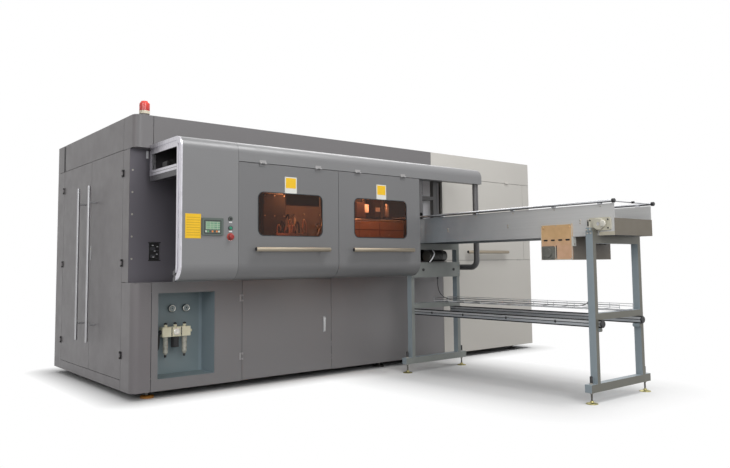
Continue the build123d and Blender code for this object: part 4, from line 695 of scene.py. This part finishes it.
for z, name, tone in (
    (1426, "black", (24, 24, 26)), (1354, "teal", (26, 60, 62)), (stop_z, "red", (168, 66, 58)),
):
    ring_paint = moulded(f"ring_{name}", tone), "trim_metal"
    lathe(f"collar_{z}", collar, (button_x, hood_face, z), "front", ring_paint, hollow=True)
    slab(
        f"button_legend_{z}", (526, 554), (-608, hood_face), (z - 31, z - 20), legends, edge=1.4,
    )
guard = [(20.4, 0), (30, 0), (30, 3), (28, 5), (20.4, 5)]
lathe("stop_guard", guard, (button_x, hood_face, stop_z), "front", ring_paint, hollow=True)
slab("yellow_plate", (164, 291), (-606.4, hood_face), (1270, 1456), yellow, edge=0.5)
dull_yellow = moulded("dull_yellow", (196, 156, 24), 0.4, 0.03), "trim_metal"
for i in range(8):
    line_z = (1292 + 19 * i, 1297 + 19 * i)
    slab(f"yellow_plate_line_{i}", (174, 281), (-606.7, -606.4), line_z, dull_yellow, edge=0.1)

# Beacon: a grey moulded foot with a pale clamping ring, and a red lens with upright ribs inside
# its wall that catch the light.
shell = new_finish("beacon_shell")
shell_tone = shell.mottle(40, (104, 100, 98), (116, 112, 110))
shell_tone = shell.blend(shell.along("Z", 2329, 2331), shell_tone, linear(216, 208, 186))
finish_node(shell.coat(shell_tone, (70, 0.35, 0.5)), "beacon_foot")
lens = new_finish("beacon_lens", Subsurface_Weight=0.15, Coat_Weight=0.5)
# The red grows lighter towards the top of the dome: a painted highlight where light falls from
# above.
lens_tone_lit_above = lens.blend(lens.along("Z", 2360, 2430), linear(196, 22, 18), linear(244, 74, 58))
lens_paint = lens.coat(lens_tone_lit_above, (50, 0.06, 0.16))
finish_node(lens_paint, "beacon_dome")
lens_middle = (125, 120, 2387)
rib_sizes = {"Size": (0.0016, 0.0024, 0.058), "Centre": place(*lens_middle)}
ribs = ring_spots(lens_middle, 41.2, 28)
grow("beacon_ribs", ribs, bars_round_centre, rib_sizes, (lens_paint, "red_lens"))

# Bay beside the hood: a bent tube from the cabinet's front to the canopy, dark posts round the
# place where the conveyor enters, and a white guard sheet with a black edge inside.
finish_node(powder_coat("bay_coat", (84, 83, 84), 0.36), "bay_frame")
white_sheet = powder_coat("pale_sheet", (240, 240, 244), 0.4), "white_paint"
slab("bay_guard", (3258, 3420), (64, 67), (1530, 1985), white_sheet, edge=0.6)
slab("bay_guard_edge", (3254, 3262), (56, 70), (1530, 1985), plastic)

# Blow clamp and stretch unit behind the windows: machined alloy halves on ground bars in a
# painted frame. Valves, hoses, a guard beam and a servo motor stand round them, and the oven is
# behind the white door.
bed_coat = powder_coat("bed_coat", (122, 118, 114), 0.45)
finish_node(bed_coat, "machine_bed", "clamp_frame", "preform_oven", "air_receiver")
mould_metal = drawn_metal("mould_metal", (206, 202, 198))
finish_node(mould_metal, "front_mould", "rear_mould", "base_mould", "transport_beam")
finish_node(drawn_metal("ground_metal", (206, 206, 210), 0.18), "stretch_carriage")
alloy = mould_metal, "ground_steel"
deep = powder_coat("deep_coat", (62, 44, 36), 0.5), "black_paint"
hose_metal = drawn_metal("hose_metal", (150, 140, 128))
tan_sheet = powder_coat("tan_sheet", (140, 122, 108), 0.4), "frame_paint"
for name, x, y, z, finish, edge in (
    ("valve_case", (1080, 1330), (-170, -60), (1250, 1800), deep, 8),
    ("valve_case_lid", (1090, 1320), (-176, -170), (1290, 1700), plastic, 3),
    ("case_bracket", (1100, 1310), (-60, 100), (1255, 1270), deep, 2),
    ("manifold", (1130, 1450), (-330, -285), (1296, 1340), alloy, 4),
    ("manifold_foot", (1180, 1210), (-285, -175), (1304, 1330), deep, 2),
    ("valve_rail", (1330, 1530), (-92, -30), (1318, 1336), alloy, 3),
    ("valve_rail_arm", (1420, 1450), (-60, 100), (1300, 1318), deep, 2),
    ("hood_light_rail", (1040, 1250), (-250, -232), (1690, 1702), alloy, 3),
    ("guard_beam", (1660, 2650), (-296, -262), (1322, 1476), tan_sheet, 3),
    ("guard_groove", (1662, 2648), (-297.5, -296), (1392, 1397), plastic, 0.4),
    ("guard_arm", (2536, 2560), (-262, 100), (1360, 1400), deep, 2),
    ("carriage_case", (2040, 2170), (-290, -230), (1503, 1660), deep, 8),
    ("carriage_label", (2150, 2200), (-292, -288), (1560, 1640), white_sheet, 2),
    ("rear_guard", (2255, 2470), (92, 97), (1500, 1880), (bed_coat, "frame_paint"), 1),
    ("servo_case", (2480, 2580), (-40, 95), (1540, 1730), deep, 6),
    ("servo_label", (2496, 2556), (-43, -40), (1600, 1640), white_sheet, 0.5),
    ("servo_foot", (2585, 2665), (-100, 95), (1532, 1548), deep, 2),
):
    slab(name, x, y, z, finish, edge=edge)
for i, x in enumerate((1830, 2070, 2330)):
    slab(f"guard_seam_{i}", (x, x + 5), (-297.5, -296), (1326, 1472), plastic, edge=0.4)
for name, along_x, y, up_z, radius, height in (
    ("end_plate_bolts", (1240, 1420, 1775, 1955), 200, (1010, 1240, 1390, 1560), 12, 10),
    ("tie_nuts", (1247.5, 1947.5), 200, (1175, 1445), 34, 26),
    ("lid_bolts", (1106, 1205, 1304), -176, (1310, 1500, 1680), 8, 5),
    ("manifold_screws", (1150, 1220, 1290, 1360, 1430), -330, (1312,), 8, 5),
    ("guard_bolts", (1720, 1950, 2200, 2450), -296, (1345, 1452), 8, 5),
):
    heads(name, [(x, y, z) for x in along_x for z in up_z], "front", radius, height, bolts)
valve = [(16, 0), (20, 2), (20, 60), (14, 66), (14, 84), (17, 86), (17, 96)]
for i, hose in enumerate((hose_metal, rubber[0], mould_metal)):
    x = 1370 + 62 * i
    lathe(f"valve_{i}", valve, (x, -60, 1335), "up", alloy)
    loop = [
        (x, -60, 1425), (x, -64, 1500), (x + 22, -10, 1540), (x + 30, 60, 1480),
        (x + 32, 92, 1420),
    ]
    bent_tube(f"valve_hose_{i}", loop, 7, (hose, "black_plastic"))
for i in range(8):
    x, top = 1150 + 38 * i, (1400, 1430, 1388, 1450)[i % 4]
    hose = (face_metal, rubber[0], hose_metal, face_metal)[i % 4]
    elbow = [
        (x, -308, 1338), (x, -308, top), (x + 14, -310, top + 18), (x + 36, -312, top - 4),
        (x + 40, -306, 1338),
    ]
    bent_tube(f"manifold_hose_{i}", elbow, 5 + i % 3, (hose, "black_plastic"))
guard_rail = [(0.5, 0), (12, 0), (13, 2), (13, 986), (12, 988), (0.5, 988)]
lathe("guard_rail", guard_rail, (1660, -280, 1489), "right", (face_metal, "ground_steel"))
servo_shape = [(0.5, 0), (24, 0), (26, 3), (26, 96), (22, 100), (22, 128), (18, 132), (0.5, 132)]
lathe("servo_motor", servo_shape, (2625, -60, 1548), "up", alloy)
pipe_feet = [(740 + 130 * i, 1160 + 34 * (i % 3)) for i in range(4)]
pipe_feet += [(1810 + 170 * i, 1200 + 40 * (i % 2)) for i in range(4)]
for i, (x, z) in enumerate(pipe_feet):
    bends = [
        (x, 60, z - 180), (x, 60, z + 80), (x + 30, 40, z + 200), (x + 90, 60, z + 260),
        (x + 96, 60, 1900),
    ]
    bent_tube(f"air_pipe_{i}", bends, 11, (hose_metal, "mould_alloy"))

# White preform module: folded steel sheets powder coated in a warm white and screwed to their
# frame. Its door hangs at its upper edge.
# Below 1.6 m the white grows a touch lighter towards the floor: painted light on the lower sheets.
white_coat = powder_coat("white_coat", (196, 193, 187), tone_near_floor=(200, 196, 189), low_height=1600)
finish_node(white_coat, "white_panels", "white_door")

# Conveyor: two deep stainless side plates with bolt heads along them, a belt on two drums, and
# polished guide rails on brackets, capped in black.


def turned_to(finish, axis, low, high):
    """A grey value from 0 to 1 as the surface turns towards an axis."""
    split = finish.add("SeparateXYZ", finish.reading("Normal"))
    return finish.spread(split.outputs[axis], 0, 1, low, high)


plate = new_finish("side_metal", Metallic=0.35)
brush_lines = plate.noise(90, 4, (1, 0.02, 1))
outer_tone = plate.blend(plate.spread(brush_lines), linear(196, 196, 195), linear(202, 202, 201))
# Towards the hood the plates are painted darker and bluer: a painted shadow of the hood over their
# inner end.
hood_shadow_tone = plate.mottle(5, (136, 143, 149), (152, 158, 163))
plate_tone = plate.blend(plate.along("Y", -1900, -800), outer_tone, hood_shadow_tone)
finish_node(plate.coat(plate_tone, plate.spread(brush_lines, 0.36, 0.46)), "conveyor_frame")
rail = new_finish("rail_steel", Metallic=0.8)
rail_lines = rail.noise(200, 3, (1, 0.05, 1))
polished = rail.blend(rail.spread(rail_lines), linear(190, 191, 195), linear(214, 215, 218))
# Faces turned down are painted near black: a painted shade on the undersides of the polished tubes.
rail_tone_dark_below = rail.blend(turned_to(rail, "Z", -0.5, -0.2), linear(50, 52, 56), polished)
finish_node(rail.coat(rail_tone_dark_below, rail.spread(rail_lines, 0.12, 0.22)), "guide_rails")
caps = new_finish("cap_plastic")
cap_tone = caps.mottle(90, (24, 24, 26), (32, 32, 34))
cap_tone = caps.blend(caps.along("Y", -1200, -1100), cap_tone, linear(150, 152, 156))
finish_node(caps.coat(cap_tone, (40, 0.3, 0.42)), "end_caps")
finish_node(moulded("belt_rubber", (60, 60, 62), 0.6), "conveyor_belt")
finish_node(drawn_metal("drum_metal", (190, 190, 192), 0.25), "drive_drum", "tail_drum")
side_plates = (("left", 2704), ("right", 3246))
for side, x in side_plates:
    side_bolts = [(x, y, z) for y in (-2300, -1580, -860, -140) for z in (1366, 1386)]
    heads(f"side_bolts_{side}", side_bolts, side, 8, 5, bolts)
    bracket_screws = [(x, y, 1487) for y in range(-2480, 40, 420)]
    heads(f"bracket_screws_{side}", bracket_screws, side, 6, 4, bolts, 12)

# Shaft bearings: cream painted castings with a raised cap and dark socket screws at the corners.
# A take-up block beside the outer one sets the belt's tension.
finish_node(powder_coat("bearing_coat", (198, 194, 178), 0.38), "bearing_housings")
for (side, x), out in zip(side_plates, (-1, 1)):
    for end, y in (("outer", -2474), ("inner", 430)):
        corners = [(x + out * 18, y + i * 77, 1351 + j * 32) for i in (-1, 1) for j in (-1, 1)]
        heads(f"bearing_screws_{side}_{end}", corners, side, 6.5, 5, plastic)
cream_paint = moulded("cream_paint", (214, 211, 200), 0.3, 0.03)
casting = cream_paint, "cream_casting"
cap_shape = [(0.5, 0), (22, 0), (25, 3), (25, 9), (20, 14), (0.5, 16)]
lathe("bearing_cap", cap_shape, (2668, -2520, 1352), "left", casting)
slab("take_up_block", (2684, 2704), (-2392, -2368), (1318, 1392), casting, edge=6)
slab("take_up_slot", (2682, 2685), (-2386, -2374), (1338, 1376), plastic)
heads("take_up_bolts", [(2684, -2380, z) for z in (1326, 1385)], "left", 7, 6, bolts)

# Conveyor drive: a taupe end cover and a housing under the frame, and a tan plate with a pale
# edge that carries the gearbox flange. A ribbed motor hangs under the belt's inner end.
cover = new_finish("cover_paint")
taupe = cover.mottle(2.2, (104, 97, 85), (112, 105, 93))
lip_tone = cover.blend(
    cover.along("Y", -2400, -2350), linear(190, 184, 166), linear(108, 100, 90),
)
cover_tone = cover.blend(cover.along("Y", -2596.5, -2595.5), taupe, lip_tone)
finish_node(cover.coat(cover_tone, (12, 0.4, 0.5), (380, 0.1, 0.0005)), "drive_covers")
tan = new_finish("tan_coat")
tan_tone = tan.blend(tan.along("Z", 1190, 1270), linear(222, 180, 150), linear(220, 182, 134))
tan_tone = tan.blend(tan.spread(tan.noise(14), 0, 0.5), tan_tone, linear(188, 148, 104))
finish_node(tan.coat(tan_tone, (20, 0.4, 0.55), (300, 0.12, 0.0005)), "drive_plate")
slab("slot_shadow", (2703, 2704.5), (-2205, -1950), (1228, 1252), rubber, edge=0.3)
motor = new_finish("motor_coat")
motor_tone = motor.mottle(30, (104, 104, 98), (122, 122, 116))
motor_tone = motor.blend(motor.along("Y", -1200, -1100), motor_tone, linear(54, 53, 50))
finish_node(motor.coat(motor_tone, (18, 0.34, 0.46), (300, 0.1, 0.0004)), "gear_motors")
rib = [(55.2, 0), (59.5, 0), (59.5, 5), (55.2, 5)]
for i in range(8):
    lathe(f"motor_rib_{i}", rib, (2856 + 22 * i, -424, 1138), "right", plastic, hollow=True)
motor_lead = [
    (2846, -462, 1076), (2856, -484, 1104), (2878, -489, 1138), (2900, -482, 1172),
    (2908, -440, 1195),
]
bent_tube("motor_lead", motor_lead, 6, white_sheet)
cream_edge = cream_paint, "cream_plastic"
plate_face = (2694.6, 2696)
for name, y, z, finish, edge in (
    ("flange_gap", (-2080, -2072), (1084, 1196), plastic, 0.3),
    # A cream strip beside the flange on the plate's face: a painted highlight.
    ("flange_highlight_strip", (-2071, -2064), (1096, 1186), cream_edge, 0.3),
    ("plate_edge_0", (-2225, -1928), (1080, 1085), cream_edge, 0.4),
    ("plate_edge_1", (-2225, -1928), (1363, 1368), cream_edge, 0.4),
    ("plate_edge_2", (-2225, -2220), (1080, 1368), cream_edge, 0.4),
    ("plate_edge_3", (-1933, -1928), (1080, 1368), cream_edge, 0.4),
):
    slab(name, plate_face, y, z, finish, edge=edge)
bracket_paint = plate_paint, "cream_plastic"
slab("drive_bracket", (2694, 2744), (-2230, -2225.4), (1188, 1262), bracket_paint)
heads("drive_bracket_bolt", [(2719, -2230, 1206)], "front", 8, 6, bolts)
edge_screws = [(plate_face[1], y, z) for y in (-2214, -2076, -1939) for z in (1092, 1357)]
heads("drive_plate_screws", edge_screws, "left", 5, 3, bolts, 12)
heads("drive_glands", [(x, -2225.5, 1215) for x in (3080, 3150)], "front", 13, 26, plastic)

# Leg frames: satin bluish grey square tube with bolted clamps at the side plates, and a deep
# beam on the inner frame. Small clips at the outer legs hold the round caps of the lower rails.
legs = new_finish("leg_coat")
satin = legs.mottle(2, (138, 150, 157), (148, 159, 165))
# Faces turned to the front are painted a darker olive grey, and darker still on the outer legs: a
# painted shade.
front_face_shade = legs.mottle(3, (116, 120, 118), (130, 134, 130))
front_face_shade = legs.blend(legs.along("Y", -1500, -1600), front_face_shade, linear(104, 103, 94))
leg_tone = legs.blend(turned_to(legs, "Y", -0.6, -0.9), satin, front_face_shade)
leg_coat = legs.coat(leg_tone, (9, 0.32, 0.42), (240, 0.06, 0.0004))
finish_node(leg_coat, "leg_frames")
leg_steel = leg_coat, "leg_steel"
for side, x in (("left", 2630), ("right", 3320)):
    clamp_bolts = [(x, y + i * 14, 1281) for y in leg_rows for i in (-1, 1)]
    heads(f"clamp_bolts_{side}", clamp_bolts, side, 8, 6, bolts)
stud_sleeve = [(7.3, 0), (11, 0), (11, 46), (9, 49), (7.3, 49)]
for i, spot in enumerate(foot_spots):
    lathe(f"stud_sleeve_{i}", stud_sleeve, (*spot, 154.6), "up", plastic, hollow=True)
rail_cap = [(0.5, 0), (26, 0), (28, 2), (28, 10), (25, 14), (0.5, 14)]
for side, x in (("left", 2685), ("right", 3265)):
    lathe(f"rail_cap_{side}", rail_cap, (x, -2470, 590), "front", plastic)
    slab(f"rail_clip_{side}", (x - 20, x + 20), (-2462, -2396), (530, 559), leg_steel, edge=4)
heads("beam_bolts", [(x, -425.5, 1000) for x in (2790, 3225)], "front", 16, 10, plastic)
slab("leg_clamp", (2620, 2684), (-2448, -2396), (1288, 1324), leg_steel, edge=5)
heads("leg_clamp_bolts", [(2620, y, 1306) for y in (-2436, -2408)], "left", 7, 6, bolts)
leg_tops = [(x, y, 1298) for x in (2650, 3300) for y in leg_rows]
heads("leg_plugs", leg_tops, "up", 18, 3, plastic, 4)

# Lower rails, wire tray and drive cable: extruded rails carry a bright welded wire tray, and the
# black cable lies in it from the beam's gland to the drive housing.
alloy_rail = new_finish("rail_alloy", Metallic=0.5)
# The rails are painted in bands by height. The bright bands are the alloy's silver and carry
# painted highlights on the faces. The near black bands are painted shade in the grooves and between
# the faces.
band_shading = alloy_rail.add("ValToRGB", alloy_rail.along("Z", 560, 620))
ramp = band_shading.color_ramp
ramp.interpolation = "CONSTANT"
ramp.elements[1].position = 0.16
for position in (0.46, 0.56, 0.84):
    ramp.elements.new(position)
light_and_shade_bands = (34, 36, 38), (170, 174, 178), (60, 62, 64), (190, 192, 194), (34, 36, 38)
for band, tone in zip(ramp.elements, light_and_shade_bands):
    band.color = (*linear(*tone), 1)
rail_gloss = alloy_rail.spread(alloy_rail.noise(120, 3, (1, 0.03, 1)), 0.25, 0.4)
finish_node(alloy_rail.coat(band_shading.outputs["Color"], rail_gloss), "lower_rails")
clip_spots = [(2669.8, y, 590) for y in (-2060, -1560, -1060, -660)]
heads("rail_clips", clip_spots, "left", 13, 4, plastic, 4)
finish_node(drawn_metal("wire_metal", (196, 197, 200), 0.25, (1, 0.1, 1)), "cable_tray")
finish_node(moulded("cable_jacket", (30, 30, 32), 0.5), "drive_cable")

# Studio: a pale floor that runs out of view into a white surround, and large soft lamps overhead
# and to both sides. Warm lamps inside the hood light the clamp behind the windows.
floor_mesh = bpy.data.meshes.new("floor")
far_edge = 40
floor_mesh.from_pydata(
    [(x * far_edge, y * far_edge, 0) for x, y in ((-1, -1), (1, -1), (1, 1), (-1, 1))], [],
    [(0, 1, 2, 3)],
)
floor = bpy.data.objects.new("floor", floor_mesh)
bpy.context.scene.collection.objects.link(floor)


def seen_directly(finish):
    """Is 1 for what the camera, polished metal or a window sees, and 0 for light that bounces."""
    path = finish.add("LightPath").outputs
    seen = finish.maths("MAXIMUM", path["Is Camera Ray"], path["Is Glossy Ray"])
    return finish.maths("MAXIMUM", seen, path["Is Transmission Ray"])


def beyond(finish, x, y):
    """How far a place on the floor lies outside a rectangle, given in machine millimetres."""
    split = finish.add("SeparateXYZ", finish.reading())
    squares = []
    for axis, (low, high), start in (("X", x, front_left.x), ("Y", y, front_left.y)):
        offset = finish.maths("SUBTRACT", split.outputs[axis], start + (low + high) / 2000)
        outside = finish.maths("SUBTRACT", finish.maths("ABSOLUTE", offset), (high - low) / 2000)
        step = finish.maths("MAXIMUM", outside, 0)
        squares.append(finish.maths("MULTIPLY", step, step))
    return finish.maths("SQRT", finish.maths("ADD", *squares))


paint = new_finish("floor_paint", Roughness=0.8, Specular_IOR_Level=0.1)
seen = seen_directly(paint)
pale = paint.blend(paint.spread(paint.noise(0.6)), (0.71, 0.71, 0.71), (0.73, 0.73, 0.73))
floor_tone = paint.blend(seen, (0.3, 0.3, 0.3), pale)
paint.feed(paint.shader.inputs["Base Color"], floor_tone)
round_cabinet = paint.spread(beyond(paint, (60, 5060), (40, 2130)), 0, 1, 0.02, 0.34)
round_conveyor = paint.spread(beyond(paint, (2350, 3400), (-2300, 40)), 0, 1, 0.0, 0.6)
open_floor = paint.maths("MULTIPLY", round_cabinet, round_conveyor)
fade = paint.add(
    "MixShader", paint.maths("MULTIPLY", open_floor, seen), paint.shader.outputs[0],
    paint.add("Emission").outputs[0],
)
paint.feed(paint.tree.nodes["Material Output"].inputs["Surface"], fade.outputs[0])
floor_mesh.materials.append(paint.owner)

world = bpy.data.worlds.new("surround")
bpy.context.scene.world = world
surround = Mixer(world)
background = surround.tree.nodes["Background"].inputs
strength = surround.spread(seen_directly(surround), 0.4, 1, 0, 1)
surround.feed(background["Strength"], strength)
surround.feed(background["Color"], (1, 1, 1))


def soft_lamp(name, at, towards, size, power, colour=(1, 1, 1)):
    """A square lamp at a place in millimetres, aimed at another."""
    lamp_data = bpy.data.lights.new(name, "AREA")
    lamp_data.shape = "SQUARE"
    lamp_data.size = size
    lamp_data.energy = power
    lamp_data.color = colour
    lamp = bpy.data.objects.new(name, lamp_data)
    aim = (place(*towards) - place(*at)).to_track_quat("-Z", "Y").to_matrix().to_4x4()
    lamp.matrix_world = Matrix.Translation(place(*at)) @ aim
    bpy.context.scene.collection.objects.link(lamp)


soft_lamp("lamp_key", (3300, -3500, 6900), (2600, -800, 300), 3, 285)
soft_lamp("lamp_front", (-500, -6500, 3500), (2200, 0, 1000), 4, 160)
soft_lamp("lamp_left", (-5000, -3500, 3200), (0, 0, 1000), 3, 75)
soft_lamp("lamp_rear", (6500, 4200, 7500), (1700, -400, 2000), 5, 190)
warm_white = (1, 0.92, 0.82)
soft_lamp("lamp_inside_left", (1560, -440, 1800), (1500, 50, 1400), 0.3, 6, warm_white)
soft_lamp("lamp_inside_right", (2180, -420, 1800), (2450, 50, 1450), 0.3, 4.5, (1, 0.95, 0.9))

bpy.context.scene.view_settings.view_transform = "Standard"
